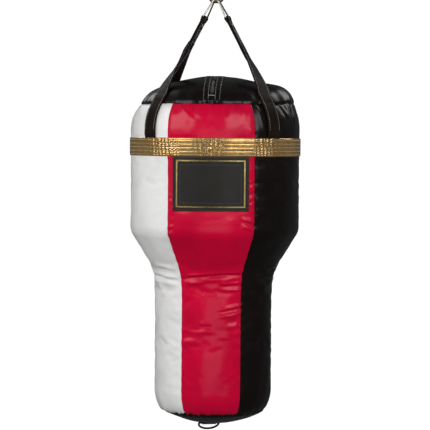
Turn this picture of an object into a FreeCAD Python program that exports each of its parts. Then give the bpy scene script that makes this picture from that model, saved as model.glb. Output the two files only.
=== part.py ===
"""Heavy punching bag: swivel, carabiner, two triangle rings, sewn straps and a filled six-gore bag.

Millimetres, +Z up. The origin is the centre of the swivel's upper eye, where the bag hangs.
The front faces -Y. Azimuths are measured from the front, turning towards +X.
The bag's outline is given as radius and drop, where drop is measured down from the top of its dome.
"""
import FreeCAD, Part
import math
import os

V = FreeCAD.Vector

# --- The bag's outline -----------------------------------------------------------------------
BAG_HEIGHT = 995.0
UPPER_R = 242.0
LOWER_R = 167.0
DOME_R = 410.0              # radius of the domed top
DOME_EDGE_R = 180.0         # where the dome turns down into the shoulder roll
ROLL_R = 78.0
TOP_SEAM_ANGLE = 24.0       # the roll ends at the top seam with this slope left
SHOULDER_DROP = 155.0       # full radius from here
TAPER_TOP_DROP = 425.0      # full radius down to here
TAPER_ANGLE = 31.0          # steepest slope of the taper, from vertical
TAPER_TOP_BEND = 58.0
TAPER_LOW_BEND = 168.0
BARREL_TOP_DROP = 612.0
BARREL_LOW_DROP = 890.0
BOTTOM_R = 301.0            # radius of the domed bottom
BOTTOM_SEAM_R = 148.0

# --- Layers, counted inwards from the outer face ------------------------------------------------
SKIN = 1.6
TAPE = 0.8
FOAM = 24.0
LINER = 1.2
WALL_TOP_DROP = 95.0        # the foam wall, the liner and the filling end flat at these drops
WALL_LOW_DROP = 950.0

# --- Sewn-on pieces ------------------------------------------------------------------------------
GORES = 6
GORE_COLOURS = ["red", "black", "white"]
GORE_PLACES = ["front", "front_right", "back_right", "back", "back_left", "front_left"]
BAND_TOP = 176.0
BAND_LOW = 227.0
BAND_THICK = 3.5
BAND_LAP_AZIMUTH = 30.0
BAND_LAP_WIDTH = 7.0
BAND_LAP_THICK = 1.2
LABEL_WIDTH = 210.0
LABEL_HEIGHT = 150.0
LABEL_THICK = 1.2
FRAME_INSET = 10.0           # at the sides
FRAME_INSET_Z = 9.8         # at the top and bottom
FRAME_WIDTH = 3.6
FRAME_THICK = 0.4

# --- Straps ---------------------------------------------------------------------------------------
STRAP_WIDTH = 45.0
STRAP_THICK = 4.0
TAIL_THICK = 1.6            # the skived end under the band
TAIL_DROP = 214.0
STRAP_OFF = 0.2             # the strap lies this far off the skin
SEWN_LENGTH = 88.0          # from the ring's bar to where the two legs part
SEWN_GAP = 0.05             # half the gap between the two sewn layers
TWIST = 9.0                 # the rings and the sewn straps are turned this much
RIVET_DROP = 24.0
RIVET_R = 2.2
RIVET_HEAD_R = 6.0
RIVET_HEAD = 1.6

# --- Hanging hardware -----------------------------------------------------------------------------
EYE_BORE_R = 9.0
EYE_R = 17.5
EYE_THICK = 12.0
EYE_ROUNDING = 2.5
COLLAR_TOP_R = 9.0          # the cone between the eye and its shank
COLLAR_LOW_R = 6.5
COLLAR_HEIGHT = 6.0
SHANK_R = 5.0
SHANK_FIT = 0.05            # radial clearance of the turning shank
HOUSING_R = 16.0
HOUSING_TOP = -22.0
HOUSING_LOW = -46.0
HOUSING_WALL = 4.0
HOUSING_ROOF = 5.0
HOUSING_ROUNDING = 3.0
PLUG_THICK = 4.0
WASHER_THICK = 2.0
WASHER_R = 11.0
BALL_R = 2.5
BALL_COUNT = 8
BALL_CIRCLE_R = 8.2
BALL_GAP = 0.05
NUT_FLATS = 17.0
NUT_HEIGHT = 6.0
SHANK_BELOW_NUT = 0.8
BOW_WIRE_R = 4.0
BOW_BEND_R = 13.0
BOW_BAR_Z = -73.0
HOOK_WIRE_R = 5.0           # carabiner
HOOK_GAP = 0.3
HOOK_BEND_R = 13.0
HOOK_FLAT = 10.0            # straight length at the bottom bend
HOOK_LENGTH = 90.0          # between the centres of the top and bottom wires
GATE_R = 4.5
GATE_LOW = 0.16             # places along the gate side, as fractions
GATE_TOP = 0.84
TANG_THICK = 4.0
TANG_GAP = 0.2
PIN_R = 1.5
PIN_FIT = 0.05
PIN_ABOVE_HEEL = 6.0        # heel: where the wire ends and the gate begins
TANG_REACH = 10.0
NOSE_REACH = 7.0
HEEL_GAP = 1.9              # lets the gate's inner corner swing past the heel
NOSE_GAP = 0.5
HEEL_SLOT = 17.0
NOSE_SLOT = 9.0
SPRING_WIRE_R = 0.4
SPRING_R = 1.9
SPRING_TURNS = 6
SPRING_LENGTH = 5.0
SPRING_ABOVE_HEEL = 12.6
RING_WIRE_R = 2.5
RING_LEAN = 27.5
RING_LENGTH = 62.0
RING_HALF_WIDTH = 27.0
RING_APEX_BEND = 10.0
RING_CORNER_BEND = 4.0
RING_OFFSET = 4.0           # each ring's apex is this far from the middle of the carabiner's bottom
DOME_BELOW_LINK = 213.0

# --- Zip in the top --------------------------------------------------------------------------------
ZIP_HALF_ANGLE = 28.5       # along the dome, from its centre
ZIP_SLOT_HALF = 4.6
COIL_HALF = 3.0
COIL_HEIGHT = 0.6           # above the cap's face
TAPE_HALF = 16.0
STOP_LENGTH = 4.0
SLIDER_ANGLE = 15.5         # where the slider stands, in front of the dome's top
SLIDER_HALF = 4.2
SLIDER_LENGTH = 14.0
SLIDER_PLATE = 2.0
BRIDGE_LENGTH = 8.0
BRIDGE_WIDTH = 2.2
BRIDGE_WINDOW = 1.8
BRIDGE_BAR = 1.2
BRIDGE_FOOT = 2.0
PULL_LENGTH = 30.0
PULL_WIDTH = 7.0
PULL_THICK = 1.2
PULL_HOLE = 5.6
PULL_HOLE_WIDTH = 3.6
PULL_CORNER = 2.5
THUMB_WIDTH = 3.0           # long hole near the pull's end
THUMB_LENGTH = 9.0
THUMB_BELOW_END = 6.0

# --- Bottom ring --------------------------------------------------------------------------------------
D_WIRE_R = 3.0
D_HALF_WIDTH = 29.0         # also the radius of its bow
D_CORNER_BEND = 5.0
D_CENTRE = (-13.0, 22.0)
D_TILT = 52.0               # from vertical, towards the back
D_YAW = 12.0
TAB_WIDTH = 40.0
TAB_THICK = 1.8
TAB_GAP = 0.3
TAB_RUN = 30.0              # the two ends run this far forward from the bar
BAR_BELOW_TAB = 0.6
PATCH_THICK = 1.6
PATCH_HALF = 34.0
PATCH_FORWARD = 12.0        # the patch's middle is this far in front of the ring's bar

GAP = 0.3                   # between pieces on different bodies

HOOK_TOP_Z = BOW_BAR_Z + BOW_WIRE_R + HOOK_WIRE_R + HOOK_GAP
LINK_Z = HOOK_TOP_Z - HOOK_LENGTH
TOP_Z = LINK_Z - DOME_BELOW_LINK
DOME_CENTRE = V(0, 0, TOP_Z - DOME_R)


def cos(angle):
    return math.cos(math.radians(angle))


def sin(angle):
    return math.sin(math.radians(angle))


def unit(vector):
    return vector.multiply(1.0 / vector.Length)


def save(name, solids):
    shape = solids if isinstance(solids, Part.Shape) else Part.makeCompound(solids)
    shape.exportStep("parts/%s.step" % name)


# --- Outline: bends are (centre radius, centre drop, bend radius, start, end), the angles being
# --- those of the outward normal above the horizontal. A negative radius is a hollow bend.
def bend_through(seam_r, seam_drop, full_r, full_drop):
    """Bend from a seam to the straight wall, tangent to the wall."""
    radius = ((full_r - seam_r) ** 2 + (full_drop - seam_drop) ** 2) / (2 * (full_r - seam_r))
    return full_r - radius, radius, math.degrees(math.asin((full_drop - seam_drop) / radius))


DOME_ANGLE = math.degrees(math.acos(DOME_EDGE_R / DOME_R))
DOME = (0.0, DOME_R, DOME_R, 90.0, DOME_ANGLE)
ROLL_CENTRE_R = (DOME_R - ROLL_R) * cos(DOME_ANGLE)
ROLL_CENTRE_DROP = DOME_R - (DOME_R - ROLL_R) * sin(DOME_ANGLE)
ROLL = (ROLL_CENTRE_R, ROLL_CENTRE_DROP, ROLL_R, DOME_ANGLE, TOP_SEAM_ANGLE)
TOP_SEAM_R = ROLL_CENTRE_R + ROLL_R * cos(TOP_SEAM_ANGLE)
TOP_SEAM_DROP = ROLL_CENTRE_DROP - ROLL_R * sin(TOP_SEAM_ANGLE)
S_CENTRE, S_BEND, S_ANGLE = bend_through(TOP_SEAM_R, TOP_SEAM_DROP, UPPER_R, SHOULDER_DROP)
SHOULDER = (S_CENTRE, SHOULDER_DROP, S_BEND, S_ANGLE, 0.0)
TAPER_TOP = (UPPER_R - TAPER_TOP_BEND, TAPER_TOP_DROP, TAPER_TOP_BEND, 0.0, -TAPER_ANGLE)
TAPER_LOW = (LOWER_R + TAPER_LOW_BEND, BARREL_TOP_DROP, -TAPER_LOW_BEND, -TAPER_ANGLE, 0.0)
BOTTOM_SEAM_DROP = BAG_HEIGHT - BOTTOM_R + math.sqrt(BOTTOM_R ** 2 - BOTTOM_SEAM_R ** 2)
T_CENTRE, T_BEND, T_ANGLE = bend_through(BOTTOM_SEAM_R, BOTTOM_SEAM_DROP, LOWER_R, BARREL_LOW_DROP)
TUCK = (T_CENTRE, BARREL_LOW_DROP, T_BEND, 0.0, T_ANGLE)
BOTTOM_ANGLE = -math.degrees(math.acos(BOTTOM_SEAM_R / BOTTOM_R))
BOTTOM = (0.0, BAG_HEIGHT - BOTTOM_R, BOTTOM_R, BOTTOM_ANGLE, -90.0)
CAP_BENDS = [DOME, ROLL]
WALL_BENDS = [SHOULDER, TAPER_TOP, TAPER_LOW, TUCK]


def bend_point(bend, angle, inset=0.0):
    centre_r, centre_drop, radius = bend[:3]
    r = centre_r + (radius - inset) * cos(angle)
    return V(0, -max(r, 0.0), TOP_Z - centre_drop + (radius - inset) * sin(angle))


def outline(bends, inset):
    """Edges along a run of bends, joined by straight lines where two bends don't meet."""
    edges = []
    last = None
    for bend in bends:
        first_angle, last_angle = bend[3:]
        start = bend_point(bend, first_angle, inset)
        middle = bend_point(bend, (first_angle + last_angle) / 2, inset)
        end = bend_point(bend, last_angle, inset)
        if last and last.distanceToPoint(start) > 1e-6:
            edges.append(Part.makeLine(last, start))
        edges.append(Part.Arc(start, middle, end).toShape())
        last = end
    return edges


def ends(bends, inset):
    return bend_point(bends[0], bends[0][3], inset), bend_point(bends[-1], bends[-1][4], inset)


def layer_face(bends, outer, inner):
    """Flat section of a layer between two insets."""
    outside = outline(bends, outer)
    inside = outline(bends, inner)
    top_out, low_out = ends(bends, outer)
    top_in, low_in = ends(bends, inner)
    edges = outside + inside + [Part.makeLine(top_out, top_in), Part.makeLine(low_out, low_in)]
    return Part.Face(Part.Wire(Part.__sortEdges__(edges)))


def turned(face, start=0.0, angle=360.0):
    """Revolve a front section about the bag's axis, from an azimuth and over an angle."""
    copy = face.copy()
    copy.rotate(V(0, 0, 0), V(0, 0, 1), start)
    return copy.revolve(V(0, 0, 0), V(0, 0, 1), angle)


def ring_sector(inner_r, outer_r, top_drop, low_drop, start=0.0, angle=360.0):
    """A curved plate that follows the straight wall."""
    corners = [(inner_r, top_drop), (outer_r, top_drop), (outer_r, low_drop), (inner_r, low_drop)]
    points = [V(0, -r, TOP_Z - drop) for r, drop in corners]
    return turned(Part.Face(Part.makePolygon(points + points[:1])), start, angle)


def clip(shape, low, high):
    """Keep the part of a shape inside a box given by its two corners."""
    return shape.common(Part.makeBox(*(high - low), low))


def tube(edges, wire_r):
    """Round wire along a chain of tangent edges."""
    path = Part.Wire(Part.__sortEdges__(edges))
    first = path.OrderedEdges[0]
    start = path.OrderedVertexes[0].Point
    at = first.FirstParameter if first.valueAt(first.FirstParameter).isEqual(start, 1e-6) \
        else first.LastParameter
    circle = Part.Wire(Part.makeCircle(wire_r, start, first.tangentAt(at)))
    return path.makePipeShell([circle], True, False)


def arc_about(centre, start, end):
    """The shorter arc about a centre between two points at the same distance from it."""
    radius = (start - centre).Length
    middle = centre + unit((start - centre) + (end - centre)) * radius
    return Part.Arc(start, middle, end).toShape()


# --- Swivel ----------------------------------------------------------------------------------------
BEARING_TOP = HOUSING_TOP - HOUSING_ROOF
BALL_Z = BEARING_TOP - WASHER_THICK - BALL_GAP - BALL_R
LOWER_WASHER_Z = BALL_Z - BALL_R - BALL_GAP
NUT_Z = LOWER_WASHER_Z - WASHER_THICK
SHANK_END_Z = NUT_Z - NUT_HEIGHT - SHANK_BELOW_NUT


def rod(radius, top_z, low_z):
    return Part.makeCylinder(radius, top_z - low_z, V(0, 0, low_z))


def swivel_eye():
    eye = Part.makeCylinder(EYE_R, EYE_THICK, V(0, -EYE_THICK / 2, 0), V(0, 1, 0))
    eye = eye.makeFillet(EYE_ROUNDING, [e for e in eye.Edges if isinstance(e.Curve, Part.Circle)])
    collar = Part.makeCone(COLLAR_TOP_R, COLLAR_LOW_R, COLLAR_HEIGHT, V(0, 0, -EYE_R + 1.0), V(0, 0, -1))
    collar = collar.cut(rod(HOUSING_R, HOUSING_TOP + GAP, SHANK_END_Z))
    shank = rod(SHANK_R, -EYE_R + 4.0, SHANK_END_Z)
    bore = Part.makeCylinder(EYE_BORE_R, EYE_THICK, V(0, -EYE_THICK / 2, 0), V(0, 1, 0))
    return eye.fuse([collar, shank]).cut(bore).cut(nut_pin()).removeSplitter()


def nut_pin():
    return Part.makeCylinder(PIN_R, NUT_FLATS, V(-NUT_FLATS / 2, 0, NUT_Z - NUT_HEIGHT / 2), V(1, 0, 0))


def swivel_nut():
    corner_r = NUT_FLATS / 2 / cos(30)
    corners = [V(corner_r * cos(60 * i + 30), corner_r * sin(60 * i + 30), NUT_Z) for i in range(7)]
    nut = Part.Face(Part.makePolygon(corners)).extrude(V(0, 0, -NUT_HEIGHT))
    return nut.cut(rod(SHANK_R, 0, SHANK_END_Z)).cut(nut_pin())


def bearing_washer(top_z):
    return rod(WASHER_R, top_z, top_z - WASHER_THICK).cut(rod(SHANK_R + 0.3, 0, SHANK_END_Z))


def bearing_balls():
    step = 360.0 / BALL_COUNT
    centres = [V(BALL_CIRCLE_R * cos(step * i), BALL_CIRCLE_R * sin(step * i), BALL_Z)
               for i in range(BALL_COUNT)]
    return [Part.makeSphere(BALL_R, centre) for centre in centres]


def swivel_housing():
    outside = rod(HOUSING_R, HOUSING_TOP, HOUSING_LOW)
    rim = [e for e in outside.Edges if e.BoundBox.ZMin > HOUSING_TOP - 0.1 and e.BoundBox.ZLength < 0.1]
    outside = outside.makeFillet(HOUSING_ROUNDING, rim)
    hollow = rod(HOUSING_R - HOUSING_WALL, BEARING_TOP, HOUSING_LOW)
    return outside.cut(hollow).cut(rod(SHANK_R + SHANK_FIT, 0, HOUSING_LOW))


def swivel_bow():
    """The plug that closes the housing and the bow forged onto it."""
    plug = rod(HOUSING_R, HOUSING_LOW, HOUSING_LOW - PLUG_THICK)
    bend_z = BOW_BAR_Z + BOW_BEND_R
    front_top = V(0, -BOW_BEND_R, HOUSING_LOW - PLUG_THICK / 2)
    back_top = V(0, BOW_BEND_R, HOUSING_LOW - PLUG_THICK / 2)
    front = V(0, -BOW_BEND_R, bend_z)
    back = V(0, BOW_BEND_R, bend_z)
    path = [Part.makeLine(front_top, front), Part.Arc(front, V(0, 0, BOW_BAR_Z), back).toShape(),
            Part.makeLine(back, back_top)]
    return plug.fuse(clip(tube(path, BOW_WIRE_R), V(-40, -40, -200), V(40, 40, HOUSING_LOW)))


# --- Carabiner --------------------------------------------------------------------------------------
def hook_lines():
    """Bend centres and the two straight sides of the carabiner, in the XZ plane."""
    top = V(0, 0, HOOK_TOP_Z - HOOK_BEND_R)
    low = V(HOOK_FLAT / 2, 0, LINK_Z + HOOK_BEND_R)
    along = unit(top - low)
    out = V(along.z, 0, -along.x)
    return top, low, out


def gate_point(fraction):
    top, low, out = hook_lines()
    return low + (top - low) * fraction + out * HOOK_BEND_R


def mirrored(vector):
    return V(-vector.x, vector.y, vector.z)


def carabiner_body():
    top, low, out = hook_lines()
    crown = top + V(0, 0, HOOK_BEND_R)
    floor = low - V(0, 0, HOOK_BEND_R)
    gate_top = top + out * HOOK_BEND_R
    gate_low = low + out * HOOK_BEND_R
    nose = gate_point(GATE_TOP)
    heel = gate_point(GATE_LOW)
    path = [Part.makeLine(nose, gate_top), arc_about(top, gate_top, crown),
            arc_about(top, crown, mirrored(gate_top)), Part.makeLine(mirrored(gate_top), mirrored(gate_low)),
            arc_about(mirrored(low), mirrored(gate_low), mirrored(floor)),
            Part.makeLine(mirrored(floor), floor), arc_about(low, floor, gate_low),
            Part.makeLine(gate_low, heel)]
    body = tube(path, HOOK_WIRE_R)
    along = unit(nose - heel)
    tongues = [tang(nose, along * -NOSE_REACH), tang(heel, along * TANG_REACH)]
    return body.fuse(tongues).cut(gate_pin(PIN_R)).removeSplitter()


def tang(base, reach):
    """A flat tongue that continues the wire into the gate's slot."""
    blank = Part.makeCylinder(GATE_R - 1.0, reach.Length + 2.0, base - unit(V(reach)) * 2.0, reach)
    return clip(blank, V(-60, -TANG_THICK / 2, -300), V(60, TANG_THICK / 2, 0))


def gate_pin(radius):
    heel = gate_point(GATE_LOW)
    along = unit(gate_point(GATE_TOP) - heel)
    length = 2 * GATE_R - 0.4
    base = heel + along * PIN_ABOVE_HEEL - V(0, length / 2, 0)
    return Part.makeCylinder(radius, length, base, V(0, 1, 0))


def carabiner_gate():
    heel = gate_point(GATE_LOW)
    nose = gate_point(GATE_TOP)
    along = unit(nose - heel)
    start = heel + along * HEEL_GAP
    rod_length = (nose - heel).Length - HEEL_GAP - NOSE_GAP
    gate = Part.makeCylinder(GATE_R, rod_length, start, along)
    slot_half = TANG_THICK / 2 + TANG_GAP
    for end, depth in ((start, HEEL_SLOT), (start + along * rod_length, -NOSE_SLOT)):
        reach = along * depth
        blank = Part.makeCylinder(GATE_R + 1.0, abs(depth) * 2, end - unit(V(reach)) * abs(depth), reach)
        gate = gate.cut(clip(blank, V(-60, -slot_half, -300), V(60, slot_half, 0)))
    return gate.cut(gate_pin(PIN_R + PIN_FIT))


def gate_spring():
    """Small coil that lies in the gate's slot between the pin and the solid part."""
    heel = gate_point(GATE_LOW)
    along = unit(gate_point(GATE_TOP) - heel)
    pitch = SPRING_LENGTH / SPRING_TURNS
    helix = Part.makeHelix(pitch, SPRING_LENGTH, SPRING_R - SPRING_WIRE_R)
    start = V(SPRING_R - SPRING_WIRE_R, 0, 0)
    circle = Part.Wire(Part.makeCircle(SPRING_WIRE_R, start, V(0, 1, pitch / (2 * math.pi * SPRING_R))))
    coil = Part.Wire(helix).makePipeShell([circle], True, True)
    turn = FreeCAD.Rotation(V(0, 0, 1), along)
    coil.Placement = FreeCAD.Placement(heel + along * SPRING_ABOVE_HEEL, turn)
    return coil


# --- Triangle rings and straps -------------------------------------------------------------------------
def hanging_frame(side):
    """Apex of a ring, its upward lean, the direction of its bar and the ring's outward normal."""
    lean = V(-side * sin(RING_LEAN), 0, cos(RING_LEAN))
    apex = V(side * RING_OFFSET, 0, LINK_Z + HOOK_WIRE_R + RING_WIRE_R + HOOK_GAP)
    bar = V(sin(TWIST), cos(TWIST), 0) * side
    bar = unit(bar - lean * bar.dot(lean))
    return apex, lean, bar, bar.cross(lean)


def outer_tangent(first, first_r, second, second_r):
    """Tangent points on the +X side of two circles in a flat sketch."""
    between = second - first
    along = between * (1.0 / between.Length)
    share = (first_r - second_r) / between.Length
    normal = along * share + V(along.y, -along.x, 0) * math.sqrt(1 - share ** 2)
    if normal.x < 0:
        normal = along * share - V(along.y, -along.x, 0) * math.sqrt(1 - share ** 2)
    return first + normal * first_r, second + normal * second_r


def triangle_ring(side):
    apex, lean, bar, _ = hanging_frame(side)
    top = V(0, -RING_APEX_BEND, 0)
    corner = V(RING_HALF_WIDTH - RING_CORNER_BEND, -(RING_LENGTH - RING_CORNER_BEND), 0)
    leg_top, leg_low = outer_tangent(top, RING_APEX_BEND, corner, RING_CORNER_BEND)
    base = corner - V(0, RING_CORNER_BEND, 0)

    def place(point, flip=1.0):
        return apex + bar * (point.x * flip) + lean * point.y

    summit = place(V(0, 0, 0))
    edges = [Part.makeLine(place(base, -1), place(base))]
    for flip in (1.0, -1.0):
        edges.append(arc_about(place(corner, flip), place(base, flip), place(leg_low, flip)))
        edges.append(Part.makeLine(place(leg_low, flip), place(leg_top, flip)))
        edges.append(arc_about(place(top, flip), place(leg_top, flip), summit))
    return tube(edges, RING_WIRE_R)


def wall_stations(side, face):
    """Centre points and outward normals of a leg, from its skived tail up to where it lifts off."""
    out = V(side * sin(45), face * cos(45), 0)
    half = STRAP_THICK / 2 + STRAP_OFF
    stations = []

    def station(r, drop, angle, thick=STRAP_THICK):
        normal = out * cos(angle) + V(0, 0, sin(angle))
        centre = out * r + V(0, 0, TOP_Z - drop)
        stations.append((centre, normal, thick))

    tail_r = UPPER_R + STRAP_OFF + TAIL_THICK / 2
    station(tail_r, TAIL_DROP, 0, TAIL_THICK)
    station(tail_r, BAND_TOP - 2.0, 0, TAIL_THICK)
    station(UPPER_R + half, BAND_TOP - 12.0, 0)
    for bend, angles in ((SHOULDER, (0, 5, 10, 15, 20, 25, 30)), (ROLL, (26, 33, 40, 46))):
        centre_r, centre_drop, radius = bend[:3]
        reach = radius + half
        for angle in angles:
            station(centre_r + reach * cos(angle), centre_drop - reach * sin(angle), angle)
    return stations


def leg_across(side, face):
    return V(-face * cos(45), side * sin(45), 0)


def strap_sections(side):
    """Rectangles from the front tail, up, round the ring's bar and down to the back tail."""
    apex, lean, bar, normal = hanging_frame(side)
    bar_centre = apex - lean * RING_LENGTH
    sewn = STRAP_THICK / 2 + SEWN_GAP
    loop = RING_WIRE_R + 0.1 + STRAP_THICK / 2
    sections = []
    for face in (-1, 1):
        half = []
        for centre, out, thick in wall_stations(side, face):
            half.append((centre, leg_across(side, face), out * -face, thick))
        lift = half[-1][0]
        layer = normal * (-face)
        part = bar_centre - lean * SEWN_LENGTH + layer * sewn
        travel = unit(part - lift)
        for share in (0.08, 0.2, 0.35, 0.5, 0.65, 0.8, 0.93):
            blend = min(share / 0.8, 1.0)
            across = leg_across(side, face) * (1 - blend) + bar * blend
            across = unit(across - travel * across.dot(travel))
            thickness_way = across.cross(travel) * -face
            half.append((lift + (part - lift) * share, across, thickness_way, STRAP_THICK))
        for below, offset in ((SEWN_LENGTH - 13.0, sewn), (16.0, sewn), (9.0, 3.2), (4.0, 4.25), (0.0, loop)):
            half.append((bar_centre - lean * below + layer * offset, bar, layer, STRAP_THICK))
        if face == 1:
            half.reverse()
            for angle in range(20, 180, 20):
                around = normal * cos(angle) + lean * sin(angle)
                sections.append((bar_centre + around * loop, bar, around, STRAP_THICK))
        sections.extend(half)
    return sections


def strap_rivet(side):
    centre, shank_way = rivet_frame(side)
    reach = STRAP_THICK + SEWN_GAP
    shank = Part.makeCylinder(RIVET_R, 2 * reach, centre - shank_way * reach, shank_way)
    heads = [Part.makeCylinder(RIVET_HEAD_R, RIVET_HEAD, centre + shank_way * reach * way, shank_way * way)
             for way in (1, -1)]
    heads = [head.makeFillet(1.0, [outer_rim(head, centre)]) for head in heads]
    return shank.fuse(heads)


def outer_rim(head, centre):
    rims = [e for e in head.Edges if isinstance(e.Curve, Part.Circle)]
    return max(rims, key=lambda e: (e.CenterOfMass - centre).Length)


def rivet_frame(side):
    """Centre of a rivet and the direction of its shank."""
    apex, lean, _, normal = hanging_frame(side)
    return apex - lean * (RING_LENGTH + RIVET_DROP), normal


def hanging_strap(side):
    wires = []
    for centre, across, way, thick in strap_sections(side):
        wide = across * (STRAP_WIDTH / 2)
        deep = way * (thick / 2)
        corners = [centre + wide + deep, centre - wide + deep, centre - wide - deep, centre + wide - deep]
        wires.append(Part.makePolygon(corners + corners[:1]))
    strap = Part.makeLoft(wires, True, True)
    reach = STRAP_THICK + SEWN_GAP
    centre, way = rivet_frame(side)
    return strap.cut(Part.makeCylinder(RIVET_R, 2 * reach, centre - way * reach, way))


# --- Bag: skin, zip, label, padding and filling -----------------------------------------------------------
def zip_slot(half):
    reach = DOME_R * sin(ZIP_HALF_ANGLE)
    return Part.makeBox(2 * half, 2 * reach, 200, V(-half, -reach, TOP_Z - 150))


def cap_half(side):
    start = 0.0 if side > 0 else 180.0
    return turned(layer_face(CAP_BENDS, 0, SKIN), start, 180.0).cut(zip_slot(ZIP_SLOT_HALF))


def dome_strip(side, outer, inner, near, far, front, back):
    """A strip of a layer of the top, between two distances from the middle and two angles along the zip."""
    shell = turned(layer_face(CAP_BENDS, outer, inner))
    low_x, high_x = sorted((side * near, side * far))
    low = V(low_x, DOME_R * sin(front), TOP_Z - 150)
    return clip(shell, low, V(high_x, DOME_R * sin(back), TOP_Z + 20))


def zip_tape(side):
    return dome_strip(side, SKIN, SKIN + TAPE, 0, TAPE_HALF, -ZIP_HALF_ANGLE, ZIP_HALF_ANGLE)


def zip_coil(side):
    stop_angle = math.degrees(STOP_LENGTH / DOME_R)
    reach = ZIP_HALF_ANGLE - stop_angle
    return dome_strip(side, -COIL_HEIGHT, SKIN, 0, COIL_HALF, -reach, reach)


def zip_stop(way):
    stop_angle = math.degrees(STOP_LENGTH / DOME_R)
    near, far = sorted((way * (ZIP_HALF_ANGLE - stop_angle), way * ZIP_HALF_ANGLE))
    right = dome_strip(1, -COIL_HEIGHT, SKIN, 0, COIL_HALF, near, far)
    return right.fuse(dome_strip(-1, -COIL_HEIGHT, SKIN, 0, COIL_HALF, near, far)).removeSplitter()


def over_dome(inner_r, outer_r, half_width, length):
    """A curved plate of a given length, centred above the dome's centre."""
    half_angle = math.degrees(length / 2 / inner_r)

    def point(radius, angle):
        return V(-half_width, radius * sin(angle), radius * cos(angle))

    arcs = [Part.Arc(point(r, -half_angle), point(r, 0), point(r, half_angle)).toShape()
            for r in (inner_r, outer_r)]
    sides = [Part.makeLine(point(inner_r, way * half_angle), point(outer_r, way * half_angle))
             for way in (-1, 1)]
    section = Part.Face(Part.Wire(Part.__sortEdges__(arcs + sides)))
    return section.extrude(V(2 * half_width, 0, 0))


def on_zip(shape):
    """Carry a shape from above the dome's centre to the slider's place in front of the top."""
    shape.rotate(V(0, 0, 0), V(1, 0, 0), SLIDER_ANGLE)
    shape.translate(DOME_CENTRE)
    return shape


PLATE_LOW_R = DOME_R + COIL_HEIGHT + GAP
PLATE_TOP_R = PLATE_LOW_R + SLIDER_PLATE
PIVOT_R = PLATE_TOP_R + BRIDGE_WINDOW / 2


def zip_slider():
    plate = over_dome(PLATE_LOW_R, PLATE_TOP_R, SLIDER_HALF, SLIDER_LENGTH)
    flanges = over_dome(DOME_R - 1.0, PLATE_LOW_R + 0.5, SLIDER_HALF, SLIDER_LENGTH)
    flanges = flanges.cut(over_dome(DOME_R - 5.0, PLATE_LOW_R, COIL_HALF + GAP, SLIDER_LENGTH + 6.0))
    height = BRIDGE_WINDOW + BRIDGE_BAR
    bridge = Part.makeBox(BRIDGE_WIDTH, BRIDGE_LENGTH, height + 0.5,
                          V(-BRIDGE_WIDTH / 2, -BRIDGE_LENGTH / 2, PLATE_TOP_R - 0.5))
    window = Part.makeBox(BRIDGE_WIDTH, BRIDGE_LENGTH - 2 * BRIDGE_FOOT, BRIDGE_WINDOW,
                          V(-BRIDGE_WIDTH / 2, -BRIDGE_LENGTH / 2 + BRIDGE_FOOT, PLATE_TOP_R))
    return on_zip(plate.fuse([flanges, bridge]).cut(window).removeSplitter())


def zip_pull():
    """A flat pull that lies up the slope; its end bar passes under the slider's bridge."""
    half = PULL_THICK / 2
    plate = Part.makeBox(PULL_WIDTH, PULL_LENGTH, PULL_THICK, V(-PULL_WIDTH / 2, -half, PIVOT_R - half))
    uprights = [e for e in plate.Edges if e.BoundBox.ZLength > PULL_THICK / 2 and e.BoundBox.YMin > 1.0]
    plate = plate.makeFillet(PULL_CORNER, uprights)
    hole = Part.makeBox(PULL_HOLE_WIDTH, PULL_HOLE - half, PULL_THICK,
                        V(-PULL_HOLE_WIDTH / 2, half, PIVOT_R - half))
    thumb = Part.makeBox(THUMB_WIDTH, THUMB_LENGTH, PULL_THICK,
                         V(-THUMB_WIDTH / 2, PULL_LENGTH - THUMB_LENGTH - THUMB_BELOW_END, PIVOT_R - half))
    return on_zip(plate.cut(hole).cut(thumb))


def gore(index):
    width = 360.0 / GORES
    return turned(layer_face(WALL_BENDS, 0, SKIN), index * width - width / 2, width)


def gold_band(straps):
    band = ring_sector(UPPER_R, UPPER_R + BAND_THICK, BAND_TOP, BAND_LOW)
    lap_angle = math.degrees(BAND_LAP_WIDTH / UPPER_R)
    lap = ring_sector(UPPER_R + BAND_THICK - 0.5, UPPER_R + BAND_THICK + BAND_LAP_THICK, BAND_TOP, BAND_LOW,
                      BAND_LAP_AZIMUTH - lap_angle / 2, lap_angle)
    return band.fuse(lap).cut(straps)


def wall_plate(inset, width, top_drop, height, thick):
    """A rectangle that lies on the front of the wall, as wide as it looks from the front."""
    angle = 2 * math.degrees(math.asin(width / 2 / UPPER_R))
    inner_r = UPPER_R + inset
    return ring_sector(inner_r, inner_r + thick, top_drop, top_drop + height, -angle / 2, angle)


def label_patch():
    return wall_plate(0, LABEL_WIDTH, BAND_LOW, LABEL_HEIGHT, LABEL_THICK)


def label_frame():
    def border(further):
        side = FRAME_INSET + further
        end = FRAME_INSET_Z + further
        return wall_plate(LABEL_THICK, LABEL_WIDTH - 2 * side, BAND_LOW + end, LABEL_HEIGHT - 2 * end,
                          FRAME_THICK)
    return border(0).cut(border(FRAME_WIDTH))


FOAM_IN = SKIN + FOAM
LINER_IN = FOAM_IN + LINER


def foam_between(top_drop, low_drop):
    """One jacket of the foam wall, between two drops."""
    wall = turned(layer_face(WALL_BENDS, SKIN, FOAM_IN))
    return clip(wall, V(-400, -400, TOP_Z - low_drop), V(400, 400, TOP_Z - top_drop))


def core(inset, top_drop, low_drop):
    """Solid of revolution inside the foam wall, cut off flat at two drops."""
    edges = outline(WALL_BENDS, inset)
    top, low = ends(WALL_BENDS, inset)
    axis_top = V(0, 0, top.z)
    axis_low = V(0, 0, low.z)
    edges += [Part.makeLine(axis_top, top), Part.makeLine(low, axis_low), Part.makeLine(axis_top, axis_low)]
    body = turned(Part.Face(Part.Wire(Part.__sortEdges__(edges))))
    return clip(body, V(-400, -400, TOP_Z - low_drop), V(400, 400, TOP_Z - top_drop))


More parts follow.
